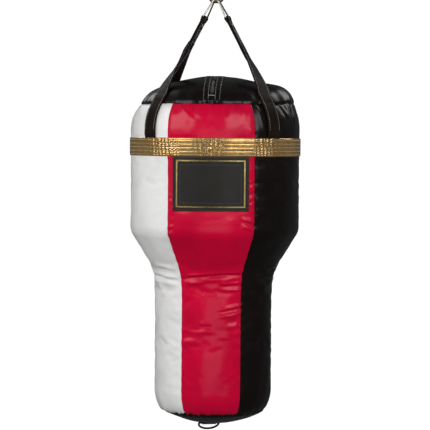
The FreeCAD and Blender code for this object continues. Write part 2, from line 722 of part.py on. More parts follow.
def top_disc():
    """Domed foam disc under the zip, down to the top of the foam wall."""
    edges = outline(CAP_BENDS, SKIN + TAPE)
    rim = bend_point(ROLL, TOP_SEAM_ANGLE, SKIN + TAPE)
    low_rim = V(0, rim.y, TOP_Z - WALL_TOP_DROP)
    axis_top = bend_point(DOME, 90.0, SKIN + TAPE)
    axis_low = V(0, 0, TOP_Z - WALL_TOP_DROP)
    edges += [Part.makeLine(rim, low_rim), Part.makeLine(low_rim, axis_low),
              Part.makeLine(axis_top, axis_low)]
    return turned(Part.Face(Part.Wire(Part.__sortEdges__(edges))))


def bottom_disc():
    edges = outline([BOTTOM], SKIN)
    rim = bend_point(BOTTOM, BOTTOM_ANGLE, SKIN)
    rim_drop = TOP_Z - rim.z
    top_rim = V(0, rim.y, TOP_Z - min(WALL_LOW_DROP, rim_drop - 1.0))
    axis_low = bend_point(BOTTOM, -90.0, SKIN)
    axis_top = V(0, 0, top_rim.z)
    edges += [Part.makeLine(rim, top_rim), Part.makeLine(top_rim, axis_top),
              Part.makeLine(axis_top, axis_low)]
    return turned(Part.Face(Part.Wire(Part.__sortEdges__(edges)))).cut(tuck_skin())


# --- Bottom: tab, patch and D-ring ------------------------------------------------------------------------
def d_frame():
    """Bar centre, bar direction and the ring's hanging direction."""
    bar = V(cos(D_YAW), sin(D_YAW), 0)
    back = V(-sin(D_YAW), cos(D_YAW), 0)
    hang = back * sin(D_TILT) - V(0, 0, cos(D_TILT))
    x, y = D_CENTRE
    cap_z = TOP_Z - BAG_HEIGHT + BOTTOM_R - math.sqrt(BOTTOM_R ** 2 - x ** 2 - y ** 2)
    centre = V(x, y, cap_z - PATCH_THICK - TAB_THICK - TAB_GAP - D_WIRE_R - BAR_BELOW_TAB)
    return centre, bar, hang, back


def bottom_d_ring():
    centre, bar, hang, _ = d_frame()

    def place(across, depth):
        return centre + bar * across + hang * depth

    inner = D_HALF_WIDTH - D_CORNER_BEND
    edges = [Part.makeLine(place(-inner, 0), place(inner, 0))]
    for way in (1, -1):
        edges.append(arc_about(place(way * inner, D_CORNER_BEND), place(way * inner, 0),
                               place(way * D_HALF_WIDTH, D_CORNER_BEND)))
    depth = D_CORNER_BEND + D_HALF_WIDTH
    bow = Part.Arc(place(-D_HALF_WIDTH, D_CORNER_BEND), place(0, depth), place(D_HALF_WIDTH, D_CORNER_BEND))
    edges.append(bow.toShape())
    return tube(edges, D_WIRE_R)


def tab_shape(inner_r, outer_r):
    """Webbing loop round the D-ring's bar, with both ends turned forward along the cap."""
    centre, bar, _, back = d_frame()
    start = centre - bar * (TAB_WIDTH / 2)
    loop = Part.makeCylinder(outer_r, TAB_WIDTH, start, bar)
    run = Part.makeBox(TAB_WIDTH, TAB_RUN, 2 * outer_r)
    turn = FreeCAD.Rotation(V(0, 0, 1), D_YAW)
    run.Placement = FreeCAD.Placement(start - back * TAB_RUN - V(0, 0, outer_r), turn)
    return loop.fuse(run), Part.makeCylinder(inner_r, TAB_WIDTH, start, bar)


def d_ring_tab(cap):
    inner_r = D_WIRE_R + TAB_GAP
    outside, bore = tab_shape(inner_r, inner_r + TAB_THICK)
    return outside.cut(bore).cut(cap).cut(d_ring_patch(cap))


def d_ring_patch(cap):
    """Square leather patch that spreads the tab's pull over the bottom cap."""
    x, y = D_CENTRE
    shell = turned(layer_face([BOTTOM], -PATCH_THICK, 0))
    box = Part.makeBox(2 * PATCH_HALF, 2 * PATCH_HALF, 200, V(-PATCH_HALF, -PATCH_HALF, -100))
    box.rotate(V(0, 0, 0), V(0, 0, 1), D_YAW)
    box.translate(V(x, y - PATCH_FORWARD, TOP_Z - BAG_HEIGHT))
    return shell.common(box).cut(cap)


def tuck_skin():
    """The lowest bend of the wall's skin all the way round, which the bottom pieces stay clear of."""
    return turned(layer_face([TUCK], 0, SKIN))


def bottom_cap():
    return turned(layer_face([BOTTOM], 0, SKIN)).cut(tuck_skin())


def main():
    os.makedirs("parts", exist_ok=True)
    save("swivel_eye", swivel_eye())
    save("swivel_nut", swivel_nut())
    save("swivel_nut_pin", nut_pin())
    save("thrust_washer_lower", bearing_washer(LOWER_WASHER_Z))
    save("thrust_balls", bearing_balls())
    save("thrust_washer_upper", bearing_washer(BEARING_TOP))
    save("swivel_housing", swivel_housing())
    save("swivel_bow", swivel_bow())
    save("carabiner_body", carabiner_body())
    save("carabiner_gate", carabiner_gate())
    save("gate_pin", gate_pin(PIN_R))
    save("gate_spring", gate_spring())
    straps = {}
    for name, side in (("left", -1), ("right", 1)):
        save("triangle_ring_" + name, triangle_ring(side))
        straps[name] = hanging_strap(side)
        save("hanging_strap_" + name, straps[name])
        save("top_cap_" + name, cap_half(side))
        save("zip_tape_" + name, zip_tape(side))
        save("zip_coil_" + name, zip_coil(side))
    save("strap_rivets", [strap_rivet(-1), strap_rivet(1)])
    save("zip_stops", [zip_stop(-1), zip_stop(1)])
    save("zip_slider", zip_slider())
    save("zip_pull", zip_pull())
    for index in range(GORES):
        colour = GORE_COLOURS[index % len(GORE_COLOURS)]
        save("panel_%s_%s" % (colour, GORE_PLACES[index]), gore(index))
    save("gold_band", gold_band(list(straps.values())))
    save("label_patch", label_patch())
    save("label_frame", label_frame())
    cap = bottom_cap()
    save("bottom_cap", cap)
    save("d_ring_patch", d_ring_patch(cap))
    save("d_ring_tab", d_ring_tab(cap))
    save("bottom_d_ring", bottom_d_ring())
    save("foam_jacket_upper", foam_between(WALL_TOP_DROP, TAPER_TOP_DROP))
    save("foam_jacket_taper", foam_between(TAPER_TOP_DROP, BARREL_TOP_DROP))
    save("foam_jacket_lower", foam_between(BARREL_TOP_DROP, WALL_LOW_DROP))
    save("foam_disc_top", top_disc())
    save("foam_disc_bottom", bottom_disc())
    filling = core(LINER_IN, WALL_TOP_DROP, WALL_LOW_DROP)
    save("inner_liner", core(FOAM_IN, WALL_TOP_DROP, WALL_LOW_DROP).cut(filling))
    save("textile_filling", filling)


main()
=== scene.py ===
"""Looks for the heavy punching bag: stuffed vinyl skin, sewn straps, crinkled gold band, zip and metal.

Everything is in metres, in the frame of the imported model: +Z up, the front towards -Y.
Azimuths are in degrees from the front, turning towards +X. Drops are measured down from the dome's top.
"""
import bpy
import math
import numpy as np
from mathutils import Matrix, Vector
from mathutils.kdtree import KDTree


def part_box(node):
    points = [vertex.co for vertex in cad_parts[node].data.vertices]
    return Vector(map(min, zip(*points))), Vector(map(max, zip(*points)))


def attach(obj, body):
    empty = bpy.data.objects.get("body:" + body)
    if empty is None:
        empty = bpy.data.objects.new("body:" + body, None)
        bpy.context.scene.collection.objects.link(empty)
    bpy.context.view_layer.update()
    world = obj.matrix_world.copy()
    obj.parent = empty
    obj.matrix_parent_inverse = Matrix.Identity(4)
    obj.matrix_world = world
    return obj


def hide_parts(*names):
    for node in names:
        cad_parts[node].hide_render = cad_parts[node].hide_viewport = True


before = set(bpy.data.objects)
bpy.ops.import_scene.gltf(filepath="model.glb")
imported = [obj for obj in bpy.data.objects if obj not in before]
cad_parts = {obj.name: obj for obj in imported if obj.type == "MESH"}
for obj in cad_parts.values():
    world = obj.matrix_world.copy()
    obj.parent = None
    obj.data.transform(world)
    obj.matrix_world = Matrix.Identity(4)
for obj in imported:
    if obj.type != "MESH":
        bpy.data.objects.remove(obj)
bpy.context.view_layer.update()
MM = 0.001

# --- The bag's outline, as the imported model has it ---
TOP_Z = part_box("top_cap_left")[1][2]
UPPER_R = 242 * MM
LOWER_R = 167 * MM
DOME_R = 410 * MM
DOME_EDGE_R = 180 * MM
ROLL_R = 78 * MM
TOP_SEAM_ANGLE = 24.0
SHOULDER_DROP = 155 * MM
TAPER_TOP_DROP = 425 * MM
TAPER_ANGLE = 31.0
TAPER_TOP_BEND = 58 * MM
TAPER_LOW_BEND = 168 * MM
BARREL_TOP_DROP = 612 * MM
BARREL_LOW_DROP = 890 * MM
BAG_HEIGHT = 995 * MM
BOTTOM_R = 301 * MM
BOTTOM_SEAM_R = 148 * MM
GORES = 6
GORE_ANGLE = 360.0 / GORES
BAND_TOP, BAND_LOW = 176 * MM, 227 * MM
BAND_THICK = 3.5 * MM
LABEL_LOW, LABEL_HALF_ANGLE = 377 * MM, 26.5
LABEL_THICK = 1.2 * MM
PANELS = ["panel_red_front", "panel_black_front_right", "panel_white_back_right",
          "panel_red_back", "panel_black_back_left", "panel_white_front_left"]


def cos(angle):
    return np.cos(np.radians(angle))


def sin(angle):
    return np.sin(np.radians(angle))


def bend_through(seam_r, seam_drop, full_r, full_drop):
    """Bend from a seam to the straight wall, tangent to the wall: centre radius, radius and angle."""
    radius = ((full_r - seam_r) ** 2 + (full_drop - seam_drop) ** 2) / (2 * (full_r - seam_r))
    return full_r - radius, radius, math.degrees(math.asin((full_drop - seam_drop) / radius))


# A bend is (centre radius, centre drop, bend radius, first and last angle of its outward normal).
DOME_ANGLE = math.degrees(math.acos(DOME_EDGE_R / DOME_R))
DOME = (0.0, DOME_R, DOME_R, 90.0, DOME_ANGLE)
ROLL_CENTRE_R = (DOME_R - ROLL_R) * cos(DOME_ANGLE)
ROLL_CENTRE_DROP = DOME_R - (DOME_R - ROLL_R) * sin(DOME_ANGLE)
ROLL = (ROLL_CENTRE_R, ROLL_CENTRE_DROP, ROLL_R, DOME_ANGLE, TOP_SEAM_ANGLE)
TOP_SEAM_R = ROLL_CENTRE_R + ROLL_R * cos(TOP_SEAM_ANGLE)
TOP_SEAM_DROP = ROLL_CENTRE_DROP - ROLL_R * sin(TOP_SEAM_ANGLE)
S_CENTRE, S_BEND, S_ANGLE = bend_through(TOP_SEAM_R, TOP_SEAM_DROP, UPPER_R, SHOULDER_DROP)
BOTTOM_SEAM_DROP = BAG_HEIGHT - BOTTOM_R + math.sqrt(BOTTOM_R ** 2 - BOTTOM_SEAM_R ** 2)
T_CENTRE, T_BEND, T_ANGLE = bend_through(BOTTOM_SEAM_R, BOTTOM_SEAM_DROP, LOWER_R, BARREL_LOW_DROP)
BOTTOM_ANGLE = -math.degrees(math.acos(BOTTOM_SEAM_R / BOTTOM_R))
CAP_BENDS = [DOME, ROLL]
WALL_BENDS = [(S_CENTRE, SHOULDER_DROP, S_BEND, S_ANGLE, 0.0),
              (UPPER_R - TAPER_TOP_BEND, TAPER_TOP_DROP, TAPER_TOP_BEND, 0.0, -TAPER_ANGLE),
              (LOWER_R + TAPER_LOW_BEND, BARREL_TOP_DROP, -TAPER_LOW_BEND, -TAPER_ANGLE, 0.0),
              (T_CENTRE, BARREL_LOW_DROP, T_BEND, 0.0, T_ANGLE)]
BOTTOM_BENDS = [(0.0, BAG_HEIGHT - BOTTOM_R, BOTTOM_R, BOTTOM_ANGLE, -90.0)]


class Outline:
    """A run of bends, read by the length along it: radius, drop and normal angle."""

    def __init__(self, bends):
        r, drop, angle = [], [], []
        for centre_r, centre_drop, radius, first, last in bends:
            count = max(int(abs(radius * math.radians(last - first)) / MM), 2)
            angles = np.linspace(first, last, count + 1)
            r.extend(centre_r + radius * cos(angles))
            drop.extend(centre_drop - radius * sin(angles))
            angle.extend(angles)
        self.r, self.drop, self.angle = np.array(r), np.array(drop), np.array(angle)
        self.s = np.concatenate([[0], np.cumsum(np.hypot(np.diff(self.r), np.diff(self.drop)))])
        self.length = self.s[-1]

    def at(self, s):
        return tuple(np.interp(s, self.s, values) for values in (self.r, self.drop, self.angle))


WALL = Outline(WALL_BENDS)
CAP = Outline(CAP_BENDS)
BOTTOM = Outline(BOTTOM_BENDS)


def round_grid(columns, down):
    """Azimuths all the way round against a second coordinate."""
    return np.meshgrid(np.arange(columns) * 360.0 / columns, down)


def side_way(azimuth):
    """The level direction out of the bag."""
    return np.stack([sin(azimuth), -cos(azimuth), 0 * azimuth], -1)


def solid_point(r, drop, angle, azimuth, out):
    """Points on the bag, moved outwards by out. Arrays of one shape, with x, y, z as the last axis."""
    radius = r + out * cos(angle)
    return np.stack([radius * sin(azimuth), -radius * cos(azimuth), TOP_Z - drop + out * sin(angle)], -1)


def barrel_point(drop, azimuth, out):
    """Points on the upper barrel."""
    return solid_point(UPPER_R + 0 * azimuth, drop, 0 * azimuth, azimuth, out)


# --- Mesh helpers ---
def new_object(name, vertices, faces, material):
    mesh = bpy.data.meshes.new(name)
    mesh.from_pydata([tuple(v) for v in vertices], [], [tuple(int(i) for i in f) for f in faces])
    mesh.materials.append(material)
    mesh.polygons.foreach_set("use_smooth", np.full(len(mesh.polygons), True))
    mesh.update()
    piece = bpy.data.objects.new(name, mesh)
    bpy.context.scene.collection.objects.link(piece)
    return piece


def grid_faces(rows, columns, closed=False, start=0):
    """Quads of a grid whose vertices run row by row."""
    last = columns if closed else columns - 1
    row, column = np.meshgrid(np.arange(rows - 1), np.arange(last), indexing="ij")
    right = (column + 1) % columns
    a = row * columns + column
    b = row * columns + right
    return (np.stack([a, a + columns, b + columns, b], -1).reshape(-1, 4) + start).tolist()


def tube_faces(rings, sides, start):
    """Faces of a tube whose vertices run ring by ring, with both ends closed."""
    last = start + (rings - 1) * sides
    return grid_faces(rings, sides, True, start) + [list(range(start, start + sides))[::-1],
                                                    list(range(last, last + sides))]


def outward(vertices, faces):
    """The faces of a closed shape, turned so that they face outwards."""
    points = np.asarray(vertices, dtype=float)
    volume = 0.0
    for face in faces:
        a = points[face[0]]
        for i in range(1, len(face) - 1):
            volume += np.dot(a, np.cross(points[face[i]], points[face[i + 1]]))
    return faces if volume > 0 else [list(face)[::-1] for face in faces]


def grid_object(name, points, material, closed=False):
    rows, columns = points.shape[:2]
    return new_object(name, points.reshape(-1, 3), grid_faces(rows, columns, closed), material)


def thicken(piece, thickness):
    """Give a sheet its thickness, inwards."""
    modifier = piece.modifiers.new("thickness", "SOLIDIFY")
    modifier.thickness = thickness
    modifier.offset = -1.0
    modifier.use_even_offset = False
    return piece


def bell(x, width, power=2):
    """1 at 0, falling away over width on both sides."""
    return np.exp(-(x / width) ** power)


def smooth_step(x):
    x = np.clip(x, 0, 1)
    return x * x * (3 - 2 * x)


def smooth_box(value, low, high, soft):
    """1 between low and high, fading to 0 within soft outside them."""
    return smooth_step((value - low + soft) / soft) * smooth_step((high + soft - value) / soft)


def wrapped(angle):
    return (angle + 180.0) % 360.0 - 180.0


def weld(piece):
    piece.modifiers.new("weld", "WELD").merge_threshold = 0.01 * MM


def unit(vectors):
    return vectors / np.maximum(np.linalg.norm(vectors, axis=-1, keepdims=True), 1e-12)


def waves(azimuth, s, seed, count, turns, rise, amount):
    """Smooth random field that closes on itself round the bag."""
    random = np.random.default_rng(seed)
    total = np.zeros(np.broadcast(azimuth, s).shape)
    for _ in range(count):
        k = random.integers(turns[0], turns[1] + 1)
        m = random.uniform(*rise) * random.choice([-1, 1])
        phase = random.uniform(0, 2 * math.pi)
        total = total + np.sin(np.radians(azimuth) * k + m * s + phase)
    return total * amount / math.sqrt(count)


def sew_on(piece, node):
    """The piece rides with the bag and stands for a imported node."""
    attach(piece, "bag")
    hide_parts(node)


def finish_padded(piece, node):
    sew_on(piece, node)


# --- Thread ---
class Thread:
    """Collects single stitches and makes them one piece."""

    # A stitch's rings: share of its length, share of its radius, and lift in radii.
    RINGS = [(-0.5, 0.45, -0.55), (-0.36, 1.0, -0.1), (0.0, 1.1, 0.25), (0.36, 1.0, -0.1), (0.5, 0.45, -0.55)]
    SIDES = 6

    def __init__(self, name, material):
        self.name, self.material = name, material
        self.vertices, self.faces = [], []

    def stitch(self, centre, along, up, length, radius):
        """A rounded, slightly sunken stitch."""
        side = np.cross(along, up)
        start = len(self.vertices)
        for share, scale, lift in self.RINGS:
            middle = centre + along * (share * length) + up * (lift * radius)
            for step in range(self.SIDES):
                turn = step * math.pi / 3
                self.vertices.append(middle + (side * math.cos(turn) + up * math.sin(turn)) * radius * scale)
        self.faces.extend(tube_faces(len(self.RINGS), self.SIDES, start))

    def run(self, points, ups, pitch, radius=0.45 * MM, fill=0.72):
        """Evenly spaced stitches along a polyline."""
        points, ups = np.asarray(points), np.asarray(ups)
        steps = np.linalg.norm(np.diff(points, axis=0), axis=1)
        s = np.concatenate([[0], np.cumsum(steps)])

        def at(place, values):
            return np.array([np.interp(place, s, values[:, i]) for i in range(3)])

        count = max(int(s[-1] / pitch), 1)
        for index in range(count):
            middle = (index + 0.5) * s[-1] / count
            start, end = at(middle - pitch * 0.4, points), at(middle + pitch * 0.4, points)
            up, along = unit(at(middle, ups)), unit(end - start)
            up = unit(up - along * np.dot(up, along))
            self.stitch((start + end) / 2, along, up, pitch * fill, radius)

    def finish(self):
        faces = outward(self.vertices, self.faces)
        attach(new_object(self.name, self.vertices, faces, self.material), "bag")


def legs(corners, count):
    """Points along each leg of a path of flat corners."""
    t = np.linspace(0, 1, count)
    for (a0, b0), (a1, b1) in zip(corners, corners[1:]):
        yield a0 + (a1 - a0) * t, b0 + (b1 - b0) * t


# --- Materials ---
class Shader:
    """A principled material with a few named node chains."""

    def __init__(self, name, **values):
        self.material = bpy.data.materials.new(name)
        self.material.use_nodes = True
        self.tree = self.material.node_tree
        self.tree.nodes.clear()
        self.surface = self.node("ShaderNodeBsdfPrincipled")
        output = self.node("ShaderNodeOutputMaterial")
        self.link(self.surface.outputs[0], output.inputs["Surface"])
        self.place = self.node("ShaderNodeTexCoord").outputs["Object"]
        self.normal = None
        for key, value in values.items():
            self.surface.inputs[key.replace("_", " ")].default_value = value

    def node(self, kind, **values):
        made = self.tree.nodes.new(kind)
        for key, value in values.items():
            if hasattr(made, key):
                setattr(made, key, value)
            else:
                made.inputs[key].default_value = value
        return made

    def link(self, source, target):
        self.tree.links.new(source, target)

    def scaled(self, scale):
        """Object coordinates stretched by three factors."""
        mapping = self.node("ShaderNodeMapping")
        mapping.inputs["Scale"].default_value = scale
        self.link(self.place, mapping.inputs["Vector"])
        return mapping.outputs[0]

    def noise(self, scale, detail, stretch=None):
        made = self.node("ShaderNodeTexNoise", Scale=scale, Detail=detail, Roughness=0.55)
        self.link(self.scaled(stretch) if stretch else self.place, made.inputs["Vector"])
        return made.outputs["Fac"]

    def cells(self, scale, feature="DISTANCE_TO_EDGE", stretch=None):
        made = self.node("ShaderNodeTexVoronoi", feature=feature, Scale=scale)
        self.link(self.scaled(stretch) if stretch else self.place, made.inputs["Vector"])
        return made.outputs["Distance"]

    def colour(self, scale, detail, stops):
        """Colours that change with a noise: stops are (position, colour)."""
        noise = self.noise(scale, detail)
        made = self.node("ShaderNodeValToRGB")
        elements = made.color_ramp.elements
        while len(elements) < len(stops):
            elements.new(0.5)
        for element, (position, colour) in zip(elements, stops):
            element.position = position
            element.color = (*colour, 1.0)
        self.link(noise, made.inputs["Fac"])
        self.link(made.outputs["Color"], self.surface.inputs["Base Color"])

    def rough(self, scale, detail, low, high):
        """Roughness from low to high over a noise's middle range."""
        noise = self.noise(scale, detail)
        made = self.node("ShaderNodeMapRange")
        for key, value in (("From Min", 0.3), ("From Max", 0.7), ("To Min", low), ("To Max", high)):
            made.inputs[key].default_value = value
        self.link(noise, made.inputs["Value"])
        self.link(made.outputs["Result"], self.surface.inputs["Roughness"])

    def bump(self, source, strength, distance):
        made = self.node("ShaderNodeBump", Strength=strength, Distance=distance)
        self.link(source, made.inputs["Height"])
        if self.normal:
            self.link(self.normal, made.inputs["Normal"])
        self.normal = made.outputs[0]
        self.link(self.normal, self.surface.inputs["Normal"])


def shade(colour, factor):
    return tuple(min(c * factor, 1.0) for c in colour)


def vinyl(name, colour, low_rough, high_rough, coat, worn, gloss=0.34):
    """Grained synthetic leather with slow colour changes, scuffs and small wrinkles."""
    made = Shader(name, Specular_IOR_Level=gloss, Coat_Weight=coat, Coat_Roughness=0.24, Coat_IOR=1.4)
    made.colour(9, 5, [(0.30, shade(colour, 0.86)), (0.5, colour), (0.72, shade(colour, worn))])
    made.rough(34, 4, low_rough, high_rough)
    made.bump(made.noise(14, 2), 0.05, 0.004)
    made.bump(made.cells(720), 0.10, 0.0003)
    made.bump(made.noise(1500, 2), 0.10, 0.0002)
    return made.material


def crinkled_gold(name):
    """Metallic vinyl pressed with a fine scaly grain."""
    made = Shader(name, Metallic=0.86, Coat_Weight=0.12, Coat_Roughness=0.12)
    made.colour(60, 4, [(0.3, (0.60, 0.36, 0.12)), (0.55, (0.76, 0.48, 0.19)), (0.8, (0.88, 0.62, 0.31))])
    made.rough(200, 3, 0.15, 0.26)
    made.bump(made.cells(330, stretch=(1.0, 1.0, 0.55)), 0.03, 0.0006)
    made.bump(made.noise(900, 3), 0.03, 0.0003)
    return made.material


def metal(name, colour, low_rough, high_rough, worn, scratch=0.04):
    made = Shader(name, Metallic=1.0)
    made.colour(140, 5, [(0.3, shade(colour, 0.72)), (0.55, colour), (0.75, worn)])
    made.rough(220, 4, low_rough, high_rough)
    made.bump(made.noise(900, 2, stretch=(1.0, 1.0, 0.12)), scratch, 0.0002)
    return made.material


def woven(name, colour, scale=900):
    """Woven tape or canvas: crossed threads with slow colour changes."""
    made = Shader(name, Sheen_Weight=0.3, Sheen_Roughness=0.5)
    made.colour(30, 4, [(0.3, shade(colour, 0.75)), (0.55, colour), (0.75, shade(colour, 1.3))])
    made.rough(120, 3, 0.6, 0.85)
    for direction in ("X", "Z"):
        wave = made.node("ShaderNodeTexWave", bands_direction=direction, Scale=scale / 3.2, Distortion=0.6)
        made.link(made.place, wave.inputs["Vector"])
        made.bump(wave.outputs["Fac"], 0.3, 0.0003)
    return made.material


def thread_material(name, colour):
    made = Shader(name, Sheen_Weight=0.4)
    made.colour(700, 3, [(0.3, shade(colour, 0.7)), (0.55, colour), (0.8, shade(colour, 1.3))])
    made.rough(900, 2, 0.5, 0.75)
    made.bump(made.noise(3000, 2), 0.3, 0.0002)
    return made.material


def foam_material(name):
    made = Shader(name, Subsurface_Weight=0.05)
    made.colour(80, 5, [(0.3, (0.55, 0.50, 0.38)), (0.7, (0.72, 0.67, 0.52))])
    made.rough(400, 3, 0.85, 0.98)
    made.bump(made.cells(500, "F1"), 0.5, 0.001)
    return made.material


RED = vinyl("red_vinyl", (0.44, 0.0006, 0.026), 0.19, 0.27, 0.0, 1.12, 0.30)
BLACK = vinyl("black_vinyl", (0.0038, 0.0025, 0.0019), 0.23, 0.33, 0.08, 1.5, 0.30)
WHITE = vinyl("white_vinyl", (0.645, 0.64, 0.625), 0.28, 0.38, 0.10, 1.04)
STRAP = vinyl("strap_leather", (0.0075, 0.0050, 0.0038), 0.38, 0.52, 0.0, 1.5, 0.07)
LABEL = vinyl("label_vinyl", (0.0120, 0.0100, 0.0080), 0.44, 0.56, 0.04, 1.4)
GOLD = crinkled_gold("gold_vinyl")
FOIL = metal("gold_foil", (0.76, 0.58, 0.20), 0.26, 0.40, (0.90, 0.75, 0.36))
NICKEL = metal("nickel", (0.66, 0.62, 0.55), 0.12, 0.26, (0.82, 0.79, 0.73))
STEEL = metal("forged_steel", (0.42, 0.42, 0.43), 0.28, 0.46, (0.62, 0.62, 0.62), 0.08)
DARK_STEEL = metal("dark_steel", (0.10, 0.085, 0.07), 0.22, 0.40, (0.34, 0.31, 0.27))
ZIP_METAL = metal("zip_metal", (0.30, 0.29, 0.27), 0.20, 0.36, (0.50, 0.48, 0.45))
TAPE = woven("zip_tape", (0.012, 0.011, 0.011))
WEBBING = woven("webbing", (0.014, 0.013, 0.013), 700)
CANVAS = woven("canvas", (0.42, 0.38, 0.28), 800)
SCRAPS = woven("textile_scraps", (0.30, 0.30, 0.33), 400)
FOAM = foam_material("foam")
GREY_THREAD = thread_material("grey_thread", (0.24, 0.23, 0.20))
DARK_THREAD = thread_material("dark_thread", (0.030, 0.028, 0.026))
GOLD_THREAD = thread_material("gold_thread", (0.46, 0.33, 0.13))
COIL = thread_material("zip_coil_plastic", (0.018, 0.017, 0.017))
SKINS = {"red": RED, "black": BLACK, "white": WHITE}


# --- Skin shape: how far the stuffed wall stands out from its outline ---
# Creases are (azimuth, drop in mm, half length, half width, depth and ridge in mm, slope, bow).
CREASES = [
    (3, 559, 86, 2.8, 5.6, 1.5, -0.060, 0.0004),
    (-14, 566, 26, 3.0, 0.6, 1.6, -0.03, 0.0),
    (-57, 570, 62, 3.0, 3.6, 1.6, 0.064, 0.0),
    (-48, 547, 36, 4.0, 1.4, 1.4, 0.10, 0.0),
    (20, 587, 30, 2.8, 2.2, 3.0, -0.02, -0.001),
    (-17, 589, 16, 3.2, 0.8, 1.5, 0.02, 0.0),
    (20, 655, 32, 3.0, 2.2, 2.6, -0.17, 0.0),
    (21, 683, 16, 4.0, 1.0, 1.8, -0.10, 0.0),
    (-5, 701, 17, 3.4, 0.9, 1.6, -0.04, 0.0),
    (27, 708, 13, 3.2, 0.7, 1.0, 0.05, 0.0),
    (-17, 728, 26, 4.2, 0.8, 1.3, 0.08, 0.0),
    (12, 741, 18, 4.0, 0.5, 0.9, 0.04, 0.0),
    (60, 548, 46, 4.0, 3.0, 2.6, -0.03, 0.0006),
    (64, 576, 30, 4.0, 1.6, 1.8, 0.05, 0.0),
    (26, 410, 19, 2.8, 2.0, 2.2, 0.28, 0.0),
    (28.2, 300, 8, 2.4, 0.8, 0.6, -0.45, 0.0),
    (28.4, 326, 8, 2.4, 0.7, 0.5, -0.40, 0.0),
    (28.2, 348, 9, 2.4, 0.8, 0.6, -0.35, 0.0),
    (-28, 429, 9, 3.0, 1.2, 1.8, -0.25, 0.0),
    (-28, 340, 7, 2.6, 0.7, 0.8, 0.25, 0.0),
    (3, 383, 60, 5.0, 0.6, 1.0, 0.0, 0.0),
    (112, 562, 74, 3.4, 4.0, 2.2, 0.03, 0.0010),
    (128, 584, 30, 3.6, 1.8, 2.2, -0.08, 0.0),
    (176, 557, 84, 3.0, 4.6, 2.4, 0.02, 0.0006),
    (196, 588, 30, 3.4, 1.8, 2.4, 0.05, 0.0),
    (168, 648, 26, 3.8, 1.4, 1.8, 0.12, 0.0),
    (240, 564, 66, 3.4, 3.6, 2.0, -0.05, 0.0010),
    (262, 590, 28, 3.6, 1.6, 1.8, 0.08, 0.0),
]
CREASE_RIDGE, CREASE_GROOVE = 1.5, 1.25    # what the listed heights and depths are multiplied by

# Folds that hang from the top seam are (first azimuth, last azimuth, first drop, last drop in mm,
# half width, height in mm).
UPRIGHT_FOLDS = [
    (-23, -10, 88, 134, 9, 1.5), (-12, -15, 92, 150, 10, -1.0), (24, 20, 86, 140, 10, 1.3),
    (16, 15, 92, 130, 8, -0.7), (34, 38, 96, 168, 7, 1.8), (40, 43, 90, 150, 6, -1.0),
    (58, 63, 84, 118, 5, 2.2), (66, 69, 84, 140, 6, -1.4), (74, 72, 90, 130, 8, 1.3),
    (-35, -37, 88, 130, 8, 0.9), (-62, -58, 90, 140, 9, 1.0), (100, 96, 88, 150, 9, 1.4),
    (128, 134, 88, 140, 8, 1.3), (160, 166, 88, 140, 9, 1.4), (188, 184, 88, 150, 8, -1.1),
    (205, 200, 88, 136, 9, 1.5), (236, 240, 88, 150, 9, 1.2), (262, 256, 88, 140, 9, 1.4),
]


def upright_folds(azimuth, r, drop):
    total = np.zeros(azimuth.shape)
    for first, last, top, low, half_width, height in UPRIGHT_FOLDS:
        share = (drop / MM - top) / (low - top)
        line = first + (last - first) * np.clip(share, -0.3, 1.3)
        x = np.radians(wrapped(azimuth - line)) * r / MM
        width = half_width * (0.7 + 0.6 * np.clip(share, 0, 1))
        total += height * MM * bell(x, width) * smooth_box(share, 0.05, 0.75, 0.45)
    return total


def crease_field(azimuth, r, drop):
    total = np.zeros(azimuth.shape)
    for centre, level, half_length, half_width, depth, ridge, slope, bow in CREASES:
        x = np.radians(wrapped(azimuth - centre)) * r / MM
        y = drop / MM - level - slope * x - bow * x ** 2
        fade = bell(x, half_length, 4)
        # A crease ends a short way past the seams of its own gore.
        middle = GORE_ANGLE * round(centre / GORE_ANGLE)
        past = np.clip(np.abs(wrapped(azimuth - middle)) - GORE_ANGLE / 2, 0, None)
        fade = fade * bell(np.radians(past) * r / MM, 5)
        groove = depth * bell(y, np.where(y < 0, 0.9 * half_width, 2.3 * half_width))
        lip = ridge * bell(y - 4.6 * half_width, 2.0 * half_width)
        upper = 0.8 * ridge * bell(y + 2.2 * half_width, 1.7 * half_width)
        total += fade * (CREASE_RIDGE * (lip + upper) - CREASE_GROOVE * groove) * MM
    return total


def from_seam(azimuth, r):
    """Distance round the wall to the nearest gore seam."""
    seam = np.abs(wrapped(azimuth - GORE_ANGLE / 2) % GORE_ANGLE)
    return np.radians(np.minimum(seam, GORE_ANGLE - seam)) * r


STUFFING_ROWS, STUFFING_COLUMNS = 118, 144
STUFFING_CAP = 5 * MM


